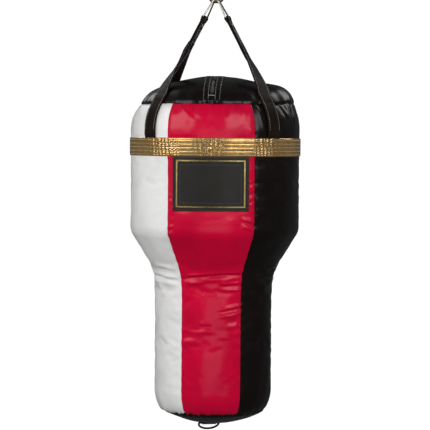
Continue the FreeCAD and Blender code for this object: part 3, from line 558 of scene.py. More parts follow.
def stuff_wall():
    """Cloth simulation of the whole wall under the stuffing's pressure, as displacements on a grid.

    The seams, the band, the label, the straps' places and both ends hold the cloth back.
    """
    s = np.linspace(0, WALL.length, STUFFING_ROWS)
    azimuth, s = round_grid(STUFFING_COLUMNS, s)
    r, drop, angle = WALL.at(s)
    points = solid_point(r, drop, angle, azimuth, 0 * r)
    vertices = points.reshape(-1, 3)
    faces = outward(vertices, grid_faces(STUFFING_ROWS, STUFFING_COLUMNS, True))
    cloth = new_object("stuffing", vertices, faces, RED)
    under_strap = (np.abs(wrapped(azimuth * 4 - 180)) / 4 < 8) & (drop < BAND_TOP)
    under_label = (np.abs(wrapped(azimuth)) < LABEL_HALF_ANGLE) & (drop < LABEL_LOW) & (drop > BAND_TOP)
    under_band = (drop > BAND_TOP) & (drop < BAND_LOW)
    at_end = (s < 8 * MM) | (WALL.length - s < 8 * MM)
    held = (from_seam(azimuth, r) < 2 * MM) | at_end | under_strap | under_label | under_band
    group = cloth.vertex_groups.new(name="held")
    group.add(np.flatnonzero(held.ravel()).tolist(), 1.0, "REPLACE")
    modifier = cloth.modifiers.new("stuffing", "CLOTH")
    settings = modifier.settings
    settings.quality = 4
    settings.mass = 0.3
    settings.tension_stiffness = settings.compression_stiffness = settings.shear_stiffness = 15
    settings.bending_stiffness = 1.5
    settings.use_pressure = True
    settings.uniform_pressure_force = 4.0
    settings.shrink_min = settings.shrink_max = -0.006
    settings.vertex_group_mass = "held"
    settings.effector_weights.gravity = 0
    modifier.collision_settings.use_collision = False
    scene = bpy.context.scene
    first, last = 1, 20
    modifier.point_cache.frame_start, modifier.point_cache.frame_end = first, last
    for frame_number in range(first, last + 1):
        scene.frame_set(frame_number)
    graph = bpy.context.evaluated_depsgraph_get()
    swollen = np.empty(len(vertices) * 3)
    cloth.evaluated_get(graph).to_mesh().vertices.foreach_get("co", swollen)
    cloth.evaluated_get(graph).to_mesh_clear()
    bpy.data.objects.remove(cloth)
    scene.frame_set(first)
    moved = swollen.reshape(points.shape) - points
    normal = unit(solid_point(r, drop, angle, azimuth, 0 * r + MM) - points)
    return np.clip((moved * normal).sum(-1), -STUFFING_CAP, STUFFING_CAP)


def stuffing_at(azimuth, s):
    """The simulated displacement between the grid's points, smooth in both directions."""
    x = (azimuth % 360.0) / 360.0 * STUFFING_COLUMNS
    y = np.clip(s / WALL.length, 0, 1) * (STUFFING_ROWS - 1)
    total = np.zeros(np.shape(x + y))
    i, j = np.floor(x).astype(int), np.floor(y).astype(int)
    for di in (-1, 0, 1, 2):
        for dj in (-1, 0, 1, 2):
            share = cubic(x - i - di) * cubic(y - j - dj)
            total += share * STUFFING[np.clip(j + dj, 0, STUFFING_ROWS - 1), (i + di) % STUFFING_COLUMNS]
    return total


def cubic(distance):
    """Cubic B-spline weight."""
    d = np.abs(distance)
    return np.where(d < 1, (4 - 6 * d ** 2 + 3 * d ** 3) / 6, np.clip(2 - d, 0, None) ** 3 / 6)


def wall_out(azimuth, s):
    """Displacement of the wall, from its seams, stuffing, gathers and creases."""
    r, drop, _ = WALL.at(s)
    seam_way = from_seam(azimuth, r)
    out = stuffing_at(azimuth, s) - 1.0 * MM
    out -= 1.3 * MM * bell(seam_way, 5.5 * MM)
    out += waves(azimuth, s, 3, 9, (3, 9), (6, 22), 0.75 * MM)
    out += waves(azimuth, s, 5, 12, (9, 26), (18, 60), 0.28 * MM)
    # Puckers that run a short way in from the gore seams.
    gore_turn = azimuth * 0 + np.floor((azimuth + GORE_ANGLE / 2) / GORE_ANGLE) * 7
    out += waves(gore_turn, s, 11, 10, (1, 5), (90, 260), 0.35 * MM) * bell(seam_way, 20 * MM)
    # Soft folds hang from the top seam, and gathers stand along both end seams.
    top_way, low_way = s, WALL.length - s
    for seed, count, turns, rise, amount, way, reach, power in (
            (17, 8, (12, 30), (2, 12), 0.9, top_way, 62, 1.5),
            (19, 8, (60, 110), (0, 10), 0.35, top_way, 14, 2),
            (23, 8, (40, 80), (0, 12), 0.6, low_way, 14, 2),
            (29, 6, (10, 24), (4, 14), 0.5, low_way, 50, 2)):
        out += waves(azimuth, s, seed, count, turns, rise, amount * MM) * bell(way, reach * MM, power)
    out += upright_folds(azimuth, r, drop)
    out -= 1.8 * MM * bell(top_way, 4 * MM)
    out -= 2.6 * MM * bell(low_way, 5 * MM)
    out += shoulder_bulge(azimuth, s)
    # The lower part hangs a little fuller on its left.
    out += 3.4 * MM * bell(wrapped(azimuth + 92), 55, 4) * smooth_box(drop, 600 * MM, 2.0, 50 * MM)
    out += crease_field(azimuth, r, drop)
    # The skin lies flat under the band and under the label.
    under_band = smooth_box(drop, BAND_TOP - 2 * MM, BAND_LOW + 2 * MM, 6 * MM)
    under_label = smooth_box(drop, BAND_TOP, LABEL_LOW - 4 * MM, 5 * MM)
    label_edge = LABEL_HALF_ANGLE - 0.8
    under_label = under_label * smooth_box(wrapped(azimuth), -label_edge, label_edge, 1.0)
    flat = np.maximum(under_band, under_label)
    return out * (1 - flat) - 0.5 * MM * flat


def seam_sway(azimuth):
    """How far the gathered bottom seam wanders up and down."""
    return waves(azimuth, 0, 53, 9, (22, 64), (0, 1), 1.1 * MM)


FOLD = 7 * MM          # how deep the edges of a skin piece turn into its seams
SKIN_THICK = 1.4 * MM
STUFFING = stuff_wall()


def gore(index):
    """One wall gore: a stuffed sheet whose four edges turn into the seams."""
    rows, columns = 340, 84
    middle = index * GORE_ANGLE
    t = np.linspace(-1, 1, columns)
    across = (0.72 * t + 0.28 * np.sin(t * math.pi / 2)) * GORE_ANGLE / 2
    s = np.linspace(0, WALL.length, rows)
    azimuth, s = np.meshgrid(middle + across, s)
    r, drop, angle = WALL.at(s)
    out = wall_out(azimuth, s)
    drop = drop + seam_sway(azimuth) * bell(WALL.length - s, 9 * MM)
    points = solid_point(r, drop, angle, azimuth, out)
    folded = solid_point(r, drop, angle, azimuth, out - FOLD)
    points = np.concatenate([folded[:1], points, folded[-1:]], 0)
    edge = np.concatenate([folded[:1], folded, folded[-1:]], 0)
    points = np.concatenate([edge[:, :1], points, edge[:, -1:]], 1)
    colour = PANELS[index].split("_")[1]
    piece = thicken(grid_object("skin_" + PANELS[index][6:], points, SKINS[colour]), SKIN_THICK)
    finish_padded(piece, PANELS[index])


# --- Top cap with its zip slot ---
ZIP_HALF_ANGLE = 28.5
SLOT_HALF = 4.6 * MM
ZIP_REACH = float(np.interp(DOME_R * sin(ZIP_HALF_ANGLE), CAP.r, CAP.s))
CAP_STITCHES = [10 * MM, 23.5 * MM]
DOME_CENTRE = np.array([0, 0, TOP_Z - DOME_R])


def flat_azimuth(a, b):
    return np.degrees(np.arctan2(a, -b))


def shoulder_bulge(azimuth, s):
    """The stuffing stands higher on the right between the straps, and lower on the left.

    s is the length along the outline, measured down from the top seam.
    """
    right = bell(wrapped(azimuth - 88), 27, 4)
    left = bell(wrapped(azimuth + 88), 30, 4)
    reach = bell(s + 14 * MM, 38 * MM)
    inwards = bell(s + 42 * MM, 56 * MM)
    return (16.0 * right * inwards - 3.0 * left * reach) * MM


def cap_out(a, b, rho):
    """Displacement of the cap at flat coordinates a, b and flat radius rho."""
    azimuth = flat_azimuth(a, b)
    rim = CAP.length - rho
    out = waves(azimuth * 0, a * 30, 31, 6, (0, 1), (0.5, 3), 0.5 * MM)
    out += 0.9 * MM * np.sin(b * 19 + a * 23 + 0.7)
    out = out * np.clip(np.abs(a) / (30 * MM), 0, 1) * np.clip(rim / (60 * MM), 0, 1)
    out += waves(azimuth, rho, 37, 8, (12, 34), (3, 12), 0.8 * MM) * bell(rim, 40 * MM)
    out += waves(azimuth, rho, 41, 8, (60, 110), (0, 10), 0.3 * MM) * bell(rim, 12 * MM)
    out -= 1.8 * MM * bell(rim, 4 * MM)
    out += shoulder_bulge(azimuth, -rim)
    for line in CAP_STITCHES:
        out -= 0.5 * MM * bell(np.abs(a) - line, 1.3 * MM)
    # The facing strip beside the zip lies on top of the cap and ends in a small step.
    strip = smooth_box(np.abs(a), 0, 25.5 * MM, 1.2 * MM)
    return out + 0.9 * MM * strip * smooth_box(rim, 8 * MM, 1.0, 8 * MM)


def cap_points(a, b, extra=0.0):
    rho = np.hypot(a, b)
    r, drop, angle = CAP.at(rho)
    azimuth = flat_azimuth(a, b)
    return solid_point(r, drop, angle, azimuth, cap_out(a, b, rho) + extra)


def cap_half(side):
    rows, columns = 150, 84
    length = CAP.length - 0.2 * MM
    b = length * np.sin(np.linspace(-math.pi / 2, math.pi / 2, rows + 2)[1:-1])
    slot = SLOT_HALF * smooth_box(b, -ZIP_REACH, ZIP_REACH, 3 * MM)
    width = np.sqrt(length ** 2 - b ** 2)
    t = np.linspace(0, 1, columns)
    share = 0.6 * t + 0.4 * np.sin(t * math.pi / 2)
    a = side * (slot[:, None] + (width - slot)[:, None] * share[None, :])
    b = np.repeat(b[:, None], columns, 1)
    points = cap_points(a, b)
    inner = cap_points(a[:, :1], b[:, :1], -3.0 * MM)
    rim = cap_points(a[:, -1:], b[:, -1:], -FOLD)
    points = np.concatenate([inner, points, rim], 1)
    if side > 0:
        points = points[:, ::-1]
    name = "right" if side > 0 else "left"
    piece = thicken(grid_object("skin_top_" + name, points, BLACK), SKIN_THICK)
    finish_padded(piece, "top_cap_" + name)


def zip_run(a, lift, count, reach):
    """A line on the cap beside the zip, and the directions that stand up from it."""
    b = np.linspace(-ZIP_REACH * reach, ZIP_REACH * reach, count)
    a = np.full(count, a)
    points = cap_points(a, b, lift)
    _, _, angle = CAP.at(np.hypot(a, b))
    azimuth = flat_azimuth(a, b)
    ups = np.stack([cos(angle) * sin(azimuth), -cos(angle) * cos(azimuth), sin(angle)], -1)
    return points, ups


def cap_thread():
    thread = Thread("top_stitching", GREY_THREAD)
    reach = (CAP.length - 12 * MM) / ZIP_REACH
    for side in (-1, 1):
        for line in CAP_STITCHES:
            thread.run(*zip_run(side * line, 0.2 * MM, 300, reach), 4.5 * MM, 0.45 * MM, 0.8)
    # A bar tack of two rows crosses in front of the zip, and another behind it.
    inner = CAP_STITCHES[0]
    for way, gap in ((-1, 11 * MM), (1, 2.4 * MM)):
        for shift in (0.0, 1.1 * MM):
            a = np.linspace(-inner, inner, 12)
            b = np.full(12, way * (ZIP_REACH + shift) + way * gap)
            points = cap_points(a, b, 0.3 * MM)
            thread.run(points, np.repeat(unit(points[:1] - DOME_CENTRE), 12, 0), 2.6 * MM, 0.5 * MM, 1.0)
    thread.finish()


# One turn of the coil: across the zip, height over the dome, and radius of the wire, in mm.
COIL_TURN = [(3.1, -0.9, 0.35), (3.0, 0.0, 0.42), (1.6, 0.45, 0.45), (0.2, 0.30, 0.5), (-0.7, -0.05, 0.55),
             (-0.2, -0.6, 0.42)]
COIL_SIDES = 5


def zip_coils():
    """Two rows of nylon turns that lock over the middle of the slot."""
    pitch = 2.0 * MM
    reach = ZIP_REACH - 4.5 * MM
    count = int(2 * reach / pitch)
    for side, name in ((-1, "left"), (1, "right")):
        places = -reach + (np.arange(count) + (0.5 if side > 0 else 0.0)) * pitch
        r, drop, angle = CAP.at(np.abs(places))
        vertices, faces = [], []
        for place, radius, depth, tilt in zip(places, r, drop, angle):
            way = math.copysign(1, place)
            up = np.array([0, way * cos(tilt), sin(tilt)])
            along = np.array([0, sin(tilt), -way * cos(tilt)])
            start = len(vertices)
            for across, height, wire in COIL_TURN:
                middle = np.array([side * across * MM, way * radius, TOP_Z - depth]) + up * height * MM
                for step in range(COIL_SIDES):
                    turn = step * math.tau / COIL_SIDES
                    vertices.append(middle + (along * math.cos(turn) + up * math.sin(turn)) * wire * MM)
            faces.extend(tube_faces(len(COIL_TURN), COIL_SIDES, start))
        piece = new_object("zip_turns_" + name, vertices, outward(vertices, faces), COIL)
        sew_on(piece, "zip_coil_" + name)


# --- Bottom cap, its patch and the tab of the ring ---
def bottom_out(azimuth, way):
    """Displacement of the bottom cap at a distance way from the seam."""
    out = waves(azimuth, way, 43, 8, (4, 9), (8, 30), 0.9 * MM) * np.clip(way / (40 * MM), 0, 1)
    out = out * np.clip((BOTTOM.length - way) / (60 * MM), 0, 1)
    out += waves(azimuth, way, 47, 8, (40, 80), (0, 10), 0.8 * MM) * bell(way, 18 * MM)
    return out - 2.6 * MM * bell(way, 5 * MM)


def bottom_cap():
    rows, columns = 56, 288
    way = np.linspace(0, BOTTOM.length * 0.995, rows)
    azimuth, way = round_grid(columns, way)
    r, drop, angle = BOTTOM.at(way)
    out = bottom_out(azimuth, way)
    drop = drop + seam_sway(azimuth) * bell(way, 9 * MM)
    points = solid_point(r, drop, angle, azimuth, out)
    folded = solid_point(r[:1], drop[:1], angle[:1], azimuth[:1], out[:1] - FOLD)
    points = np.concatenate([folded, points], 0)
    faces = grid_faces(rows + 1, columns, True)
    vertices = np.concatenate([points.reshape(-1, 3), [[0, 0, TOP_Z - BAG_HEIGHT]]])
    last = rows * columns
    faces += [[last + i, len(vertices) - 1, last + (i + 1) % columns] for i in range(columns)]
    piece = thicken(new_object("skin_bottom", vertices, faces, BLACK), SKIN_THICK)
    finish_padded(piece, "bottom_cap")


D_WIRE_R = 3 * MM
D_YAW = 12.0
D_CENTRE_XY = (-13 * MM, 22 * MM)
TAB_HALF = 20 * MM
PATCH_HALF = 34 * MM
PATCH_THICK = 1.6 * MM
PATCH_STITCHES = [4 * MM, 8 * MM]    # in from the patch's edge
TAB_REACH = 30 * MM


def bottom_z(x, y):
    return TOP_Z - BAG_HEIGHT + BOTTOM_R - np.sqrt(BOTTOM_R ** 2 - x ** 2 - y ** 2)


def patch_point(u, v, below):
    """A point under the bottom cap at flat patch coordinates, below the cap's face."""
    x = D_CENTRE_XY[0] + u * cos(D_YAW) - (v - 12 * MM) * sin(D_YAW)
    y = D_CENTRE_XY[1] + u * sin(D_YAW) + (v - 12 * MM) * cos(D_YAW)
    return np.stack([x, y, bottom_z(x, y) - below], -1)


def ring_patch():
    """The thin sewn patch under the bottom cap, with softly rounded edges."""
    u, v = np.meshgrid(*[np.linspace(-PATCH_HALF, PATCH_HALF, 60)] * 2)
    thickness = PATCH_THICK + 0.6 * MM
    rim = np.minimum(np.minimum(u - u.min(), u.max() - u), np.minimum(v - v.min(), v.max() - v))
    face = thickness * (0.25 + 0.75 * np.sqrt(np.clip(rim / (1.2 * MM), 0, 1)))
    groove = 0.35 * MM * bell(rim - PATCH_STITCHES[0], 0.9 * MM)
    patch = thicken(grid_object("ring_patch", patch_point(u, v, face - groove), LABEL), thickness)
    sew_on(patch, "d_ring_patch")
    thread = Thread("bottom_stitching", GREY_THREAD)
    for inset in PATCH_STITCHES:
        half = PATCH_HALF - inset
        corners = [(-half, -half), (half, -half), (half, half), (-half, half), (-half, -half)]
        for u, v in legs(corners, 24):
            points = patch_point(u, v, PATCH_THICK + 0.45 * MM)
            thread.run(points, np.repeat([[0, 0, -1.0]], 24, 0), 4 * MM)
    thread.finish()


def ring_tab():
    """Webbing folded round the bar of the bottom ring, with both ends sewn to the patch."""
    bar = np.array([cos(D_YAW), sin(D_YAW), 0])
    back = np.array([-sin(D_YAW), cos(D_YAW), 0])
    x, y = D_CENTRE_XY
    wrap_r = D_WIRE_R + 0.3 * MM + 0.9 * MM
    centre_z = bottom_z(x, y) - PATCH_THICK - 1.8 * MM - 0.3 * MM - D_WIRE_R - 0.6 * MM
    centre = np.array([x, y, centre_z])
    path, way = [], []
    for t in np.linspace(0, 1, 12):
        reach = -TAB_REACH * (1 - t)
        top = bottom_z(x, y) - PATCH_THICK - 1.0 * MM - centre_z
        path.append(back * reach + np.array([0, 0, top + (wrap_r - top) * t ** 2]))
        way.append(np.array([0, 0, 1.0]))
    for angle in np.linspace(80, -85, 12):
        out = back * cos(angle) + np.array([0, 0, sin(angle)])
        path.append(out * wrap_r)
        way.append(out)
    for t in np.linspace(0.04, 1, 14):
        reach = -TAB_REACH * t
        pinch = smooth_step(t / 0.35)
        level = -wrap_r + (wrap_r + top - 2.1 * MM) * pinch
        path.append(back * reach + np.array([0, 0, level]))
        way.append(np.array([0, 0, -1.0]))
    path, way = np.array(path), unit(np.array(way))
    u = np.linspace(-TAB_HALF, TAB_HALF, 34)
    rib = 0.12 * MM * np.cos(u / TAB_HALF * math.pi * 8)
    outer = centre + path[:, None] + bar * u[None, :, None] + way[:, None] * (0.9 * MM + rib[None, :, None])
    inner = centre + path[:, None] + bar * u[None, :, None] - way[:, None] * (0.8 * MM)
    rows, columns = outer.shape[:2]
    vertices = np.concatenate([outer.reshape(-1, 3), inner.reshape(-1, 3)])
    offset = rows * columns
    faces = grid_faces(rows, columns) + [f[::-1] for f in grid_faces(rows, columns, start=offset)]
    loop = list(range(columns)) + [r * columns + columns - 1 for r in range(1, rows)]
    loop += [(rows - 1) * columns + c for c in range(columns - 2, -1, -1)]
    loop += [r * columns for r in range(rows - 2, 0, -1)]
    for a, b in zip(loop, loop[1:] + loop[:1]):
        faces.append([a, b, b + offset, a + offset])
    piece = new_object("ring_tab", vertices, outward(vertices, faces), WEBBING)
    sew_on(piece, "d_ring_tab")


# --- Gold band ---
LAP_AZIMUTH = 30.0
BAND_ROWS = [5.5 * MM, 16 * MM, 26 * MM, 36 * MM, 46 * MM]
BAND_HEIGHT = BAND_LOW - BAND_TOP


def crinkle(arc, height, size, seed):
    """Raised scales with grooves between them: 0 in a groove and up to 1 on a scale."""
    random = np.random.default_rng(seed)
    span = arc.max() + 1e-9
    width, tall = size
    cells_x, cells_y = int(span / width), int(BAND_HEIGHT / tall) + 1
    tree = KDTree(cells_x * cells_y)
    for i in range(cells_x):
        for j in range(cells_y):
            x = (i + random.uniform(0.05, 0.95)) * width
            y = (j + random.uniform(0.05, 0.95)) * tall
            tree.insert((x / width, y / tall, 0), i * cells_y + j)
    tree.balance()
    flat = np.stack([arc.ravel() / width, height.ravel() / tall], -1)
    edge = np.empty(len(flat))
    for index, (x, y) in enumerate(flat):
        found = tree.find_n((x, y, 0), 2)
        edge[index] = found[1][2] - found[0][2]
    return np.clip(edge.reshape(arc.shape) / 0.35, 0, 1)


# Where the band is crinkled: (middle azimuth, half width); it is smooth between these zones.
CRINKLED = [(-42, 12), (-27, 6), (0, 8), (40, 11), (118, 10), (150, 12), (176, 9), (212, 13), (246, 10)]


def crinkled(azimuth):
    zones = [bell(wrapped(azimuth - middle), half, 4) for middle, half in CRINKLED]
    return np.max(zones, axis=0)


def lap(azimuth):
    """How far the band's upper end stands out where it laps over the other."""
    return 1.3 * MM * smooth_box(wrapped(azimuth - LAP_AZIMUTH), -0.85, 0.85, 0.22)


def band_out(azimuth, down):
    out = np.full(azimuth.shape, BAND_THICK - 0.8 * MM)
    arc = np.radians(azimuth) * UPPER_R
    rough = crinkled(azimuth)
    grain = 0.6 * MM * crinkle(arc, down, (3.8 * MM, 6.5 * MM), 61)
    grain = grain + waves(azimuth, down, 67, 10, (60, 150), (20, 120), 0.4 * MM)
    out += grain * (0.03 + 0.97 * rough)
    for row in BAND_ROWS:
        out -= 0.22 * MM * bell(down - row, 1.1 * MM)
    edge = np.minimum(down, BAND_HEIGHT - down)
    out -= 1.6 * MM * bell(edge, 1.6 * MM)
    return out + lap(azimuth)


def gold_band():
    rows, columns = 46, 1512
    down = np.linspace(0, BAND_HEIGHT, rows)
    azimuth, down = round_grid(columns, down)
    face = barrel_point(BAND_TOP + down, azimuth, band_out(azimuth, down))
    back, low = (barrel_point(BAND_TOP + edge, azimuth[:1], -0.3 * MM) for edge in (down[:1], down[-1:]))
    piece = grid_object("gold_band_skin", np.concatenate([back, face, low, back], 0), GOLD, True)
    weld(piece)
    sew_on(piece, "gold_band")
    thread = Thread("band_stitching", GOLD_THREAD)
    turn = np.linspace(0, 360, 361)
    for row in BAND_ROWS:
        points = barrel_point(BAND_TOP + row, turn, BAND_THICK - 0.9 * MM + lap(turn))
        thread.run(points, side_way(turn), 5 * MM, 0.5 * MM)
    thread.finish()


# --- Label ---
LABEL_STITCHES = [3.2 * MM, 23 * MM]    # in from the label's edge


def label():
    """Plain patch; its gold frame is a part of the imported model."""
    low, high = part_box("label_patch")
    half_angle = math.degrees(math.asin(high[0] / (UPPER_R + LABEL_THICK)))
    top, height = BAND_LOW, high[2] - low[2]
    down = np.linspace(0.1 * MM, height, 90)
    azimuth, down = np.meshgrid(np.linspace(-half_angle, half_angle, 130), down)
    side = (half_angle - np.abs(azimuth)) * math.radians(1) * UPPER_R
    rim = np.minimum(side, height - down)
    out = LABEL_THICK * (0.3 + 0.7 * np.sqrt(np.clip(rim / (1.3 * MM), 0, 1)))
    out -= 0.35 * MM * bell(rim - LABEL_STITCHES[0], 0.9 * MM)
    out -= 0.25 * MM * bell(np.minimum(rim, down + 1.5 * MM) - LABEL_STITCHES[1], 1.0 * MM)
    points = barrel_point(top + down, azimuth, out)
    piece = thicken(grid_object("label_skin", points, LABEL), LABEL_THICK)
    sew_on(piece, "label_patch")
    thread = Thread("label_stitching", DARK_THREAD)
    for inset in LABEL_STITCHES:
        a = half_angle - math.degrees(inset / UPPER_R)
        first = inset if inset > 5 * MM else 2 * MM
        corners = [(-a, first), (-a, height - inset), (a, height - inset), (a, first), (-a, first)]
        for turn, drop in legs(corners, 60):
            points = barrel_point(top + drop, turn, LABEL_THICK - 0.1 * MM)
            thread.run(points, side_way(turn), 4 * MM, 0.42 * MM)
    thread.finish()


# --- Straps ---
STRAP_WIDTH = 45 * MM
STRAP_THICK = 4 * MM
STRAP_LINE = STRAP_WIDTH / 2 - 5 * MM    # a row of stitches, from the strap's middle
RING_LEAN = 27.5
RING_LENGTH = 62 * MM
RING_OFFSET = 4 * MM
RING_WIRE_R = 2.5 * MM
TWIST = 9.0
SEWN_LENGTH = 88 * MM
STRAP_BOW = 4.5 * MM
LINK_Z = TOP_Z + 213 * MM


def hanging_frame(side):
    """Centre of a ring's bar, the ring's upward lean, its bar's direction and its outward normal."""
    lean = np.array([-side * sin(RING_LEAN), 0, cos(RING_LEAN)])
    apex = np.array([side * RING_OFFSET, 0, LINK_Z + 7.8 * MM])
    bar = np.array([sin(TWIST), cos(TWIST), 0]) * side
    bar = unit(bar - lean * bar.dot(lean))
    return apex - lean * RING_LENGTH, lean, bar, np.cross(bar, lean)


def leg_stations(side, face):
    """Centre, across and thickness direction from the tail under the band up to the lift-off."""
    out = np.array([side * cos(45), face * cos(45), 0])
    across = np.array([-face * cos(45), side * cos(45), 0])
    stations = []

    def station(r, drop, angle, thick=STRAP_THICK):
        normal = out * cos(angle) + np.array([0, 0, sin(angle)])
        stations.append((out * r + np.array([0, 0, TOP_Z - drop]), across, -face * normal, thick))

    half = STRAP_THICK / 2 + 0.1 * MM
    station(UPPER_R + 0.9 * MM, BAND_LOW - 20 * MM, 0, 1.4 * MM)
    station(UPPER_R + 0.9 * MM, BAND_TOP + 1 * MM, 0, 1.4 * MM)
    station(UPPER_R + half, BAND_TOP - 9 * MM, 0)
    shoulder = (S_CENTRE, SHOULDER_DROP, S_BEND, (0, 5, 10, 15, 20, 25, 30))
    roll = (ROLL_CENTRE_R, ROLL_CENTRE_DROP, ROLL_R, (26, 33, 40, 46))
    for centre_r, centre_drop, radius, angles in (shoulder, roll):
        reach = radius + half
        for angle in angles:
            station(centre_r + reach * cos(angle), centre_drop - reach * sin(angle), angle)
    return stations


def strap_stations(side):
    bar_centre, lean, bar, normal = hanging_frame(side)
    sewn = STRAP_THICK / 2 + 0.05 * MM
    loop = RING_WIRE_R + 0.1 * MM + STRAP_THICK / 2
    stations = []
    for face in (-1, 1):
        half = leg_stations(side, face)
        across_low = half[0][1]
        lift = half[-1][0]
        layer = -face * normal
        part = bar_centre - lean * SEWN_LENGTH + layer * sewn
        travel = unit(part - lift)
        for share in (0.08, 0.2, 0.35, 0.5, 0.65, 0.8, 0.93):
            blend = min(share / 0.8, 1.0)
            across = across_low * (1 - blend) + bar * blend
            across = unit(across - travel * across.dot(travel))
            bow = STRAP_BOW * math.sin(math.pi * share ** 0.6) * np.array([side, 0, 0])
            centre = lift + (part - lift) * share + bow
            half.append((centre, across, np.cross(across, travel) * -face, STRAP_THICK))
        # Below the bar the legs lie on each other, then part round it: (distance below, offset) in mm.
        for below, offset in ((75, 2.05), (50, 2.05), (33, 2.05), (16, 2.05), (9, 3.2), (4, 4.25), (0, 4.6)):
            centre = bar_centre - lean * below * MM + layer * min(offset * MM, loop)
            half.append((centre, bar, layer, STRAP_THICK))
        if face == 1:
            half.reverse()
            for angle in range(20, 180, 20):
                around = normal * cos(angle) + lean * sin(angle)
                stations.append((bar_centre + around * loop, bar, around, STRAP_THICK))
        stations.extend(half)
    return stations


def smooth_path(values, samples):
    """Catmull-Rom through station values, at even station spacing."""
    values = np.asarray(values)
    t = np.linspace(0, len(values) - 1, samples)
    i = np.clip(t.astype(int), 0, len(values) - 2)
    f = (t - i)[:, None]
    p0, p1 = values[np.clip(i - 1, 0, None)], values[i]
    p2, p3 = values[i + 1], values[np.clip(i + 2, None, len(values) - 1)]
    return 0.5 * (2 * p1 + (p2 - p0) * f + (2 * p0 - 5 * p1 + 4 * p2 - p3) * f ** 2
                  + (3 * p1 - p0 - 3 * p2 + p3) * f ** 3)


def strap_section(thick):
    """Across and thickness offsets round one section: folded edges, padded middle, sewn grooves."""
    half = STRAP_WIDTH / 2
    top = []
    edge = np.linspace(0.86, 1, 5)
    for u in np.concatenate([-edge[::-1], np.linspace(-0.82, 0.82, 23), edge]):
        x = u * half
        rim = half - abs(x)
        height = thick / 2 * (0.35 + 0.65 * math.sqrt(min(rim / (1.8 * MM), 1.0)))
        groove = 0.5 * MM * bell(abs(x) - STRAP_LINE, 1.2 * MM)
        crown = 0.25 * MM * (1 - u ** 4)
        top.append((x, height - (groove - crown) * thick / STRAP_THICK))
    return np.array(top + [(x, -h) for x, h in reversed(top)])


def strap(side):
    stations = strap_stations(side)
    samples = len(stations) * 7
    centre, across, way = (smooth_path([s[i] for s in stations], samples) for i in range(3))
    thick = smooth_path([[s[3]] for s in stations], samples)[:, 0]
    across = unit(across)
    way = unit(way - across * (way * across).sum(-1, keepdims=True))
    rings = []
    for i in range(samples):
        section = strap_section(thick[i])
        rings.append(centre[i] + across[i] * section[:, :1] + way[i] * section[:, 1:])
    rings = np.array(rings)
    rows, columns = rings.shape[:2]
    faces = grid_faces(rows, columns, True)
    faces += [list(range(columns)), [(rows - 1) * columns + i for i in range(columns - 1, -1, -1)]]
    name = "left" if side < 0 else "right"
    vertices = rings.reshape(-1, 3)
    piece = new_object("strap_" + name, vertices, outward(vertices, faces), STRAP)
    sew_on(piece, "hanging_strap_" + name)
    thread = Thread("strap_stitching_" + name, GREY_THREAD)
    first, last = int(samples * 0.05), int(samples * 0.95)
    for line in (-STRAP_LINE, STRAP_LINE):
        for face in (-1, 1):
            points = centre + across * line + way * face * (thick[:, None] / 2 - 0.1 * MM)
            thread.run(points[first:last], way[first:last] * face, 4.6 * MM, 0.45 * MM, 0.78)
    box_stitch(thread, side)
    thread.finish()


def box_stitch(thread, side):
    """The sewn section where the two legs lie on each other: a box with a cross."""
    top, low = 38 * MM, 78 * MM
    bar_centre, lean, bar, normal = hanging_frame(side)
    half = 12 * MM
    for face in (-1, 1):
        level = bar_centre + normal * face * (STRAP_THICK + 0.1 * MM)
        a, b, c, d = (level - lean * below + bar * across
                      for below, across in ((top, -half), (top, half), (low, half), (low, -half)))
        for start, end in ((a, b), (b, c), (c, d), (d, a), (a, c), (b, d)):
            points = start + (end - start) * np.linspace(0, 1, 8)[:, None]
            thread.run(points, np.repeat((normal * face)[None], 8, 0), 4.2 * MM, 0.5 * MM)


# --- Padding under the skin ---
def pad(node, rings):
    """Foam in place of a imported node: a closed ring of revolution from (radius, drop) points."""
    r, drop = np.array(rings + rings[:1]).T
    azimuth, r = round_grid(96, r)
    piece = grid_object(node + "_pad", solid_point(r, drop[:, None], 0 * r, azimuth, 0), FOAM, True)
    weld(piece)
    finish_padded(piece, node)


def inset_ring(outline, inset, low, high, count):
    """Points along an outline moved inwards, between two drops."""
    s = np.linspace(0, outline.length, 400)
    r, drop, angle = outline.at(s)
    r, drop = r - inset * cos(angle), drop + inset * sin(angle)
    levels = np.linspace(low, high, count)
    return [(np.interp(level, drop, r), level) for level in levels]


def padding():
    outer, inner = 9 * MM, 25.6 * MM
    for node, low, high in (("foam_jacket_upper", 97, 424), ("foam_jacket_taper", 426, 611),
                            ("foam_jacket_lower", 613, 946)):
        rings = inset_ring(WALL, outer, low * MM, high * MM, 30)
        rings += inset_ring(WALL, inner, high * MM, low * MM, 30)
        pad(node, rings)
    r, drop, angle = CAP.at(np.linspace(2 * MM, CAP.length, 30))
    dome = list(zip(r - outer * cos(angle), drop + outer * sin(angle)))
    rim_r, low = dome[-1][0], 95 * MM
    pad("foam_disc_top", dome + [(rim_r, low), (dome[0][0], low)])
    reach = np.linspace(0.5 * MM, 136 * MM, 24)
    bowl = [(r, BAG_HEIGHT - BOTTOM_R + math.sqrt((BOTTOM_R - 8 * MM) ** 2 - r ** 2)) for r in reach]
    disc = bowl + [(136 * MM, 950 * MM), (0.5 * MM, 950 * MM)]
    pad("foam_disc_bottom", disc[::-1])


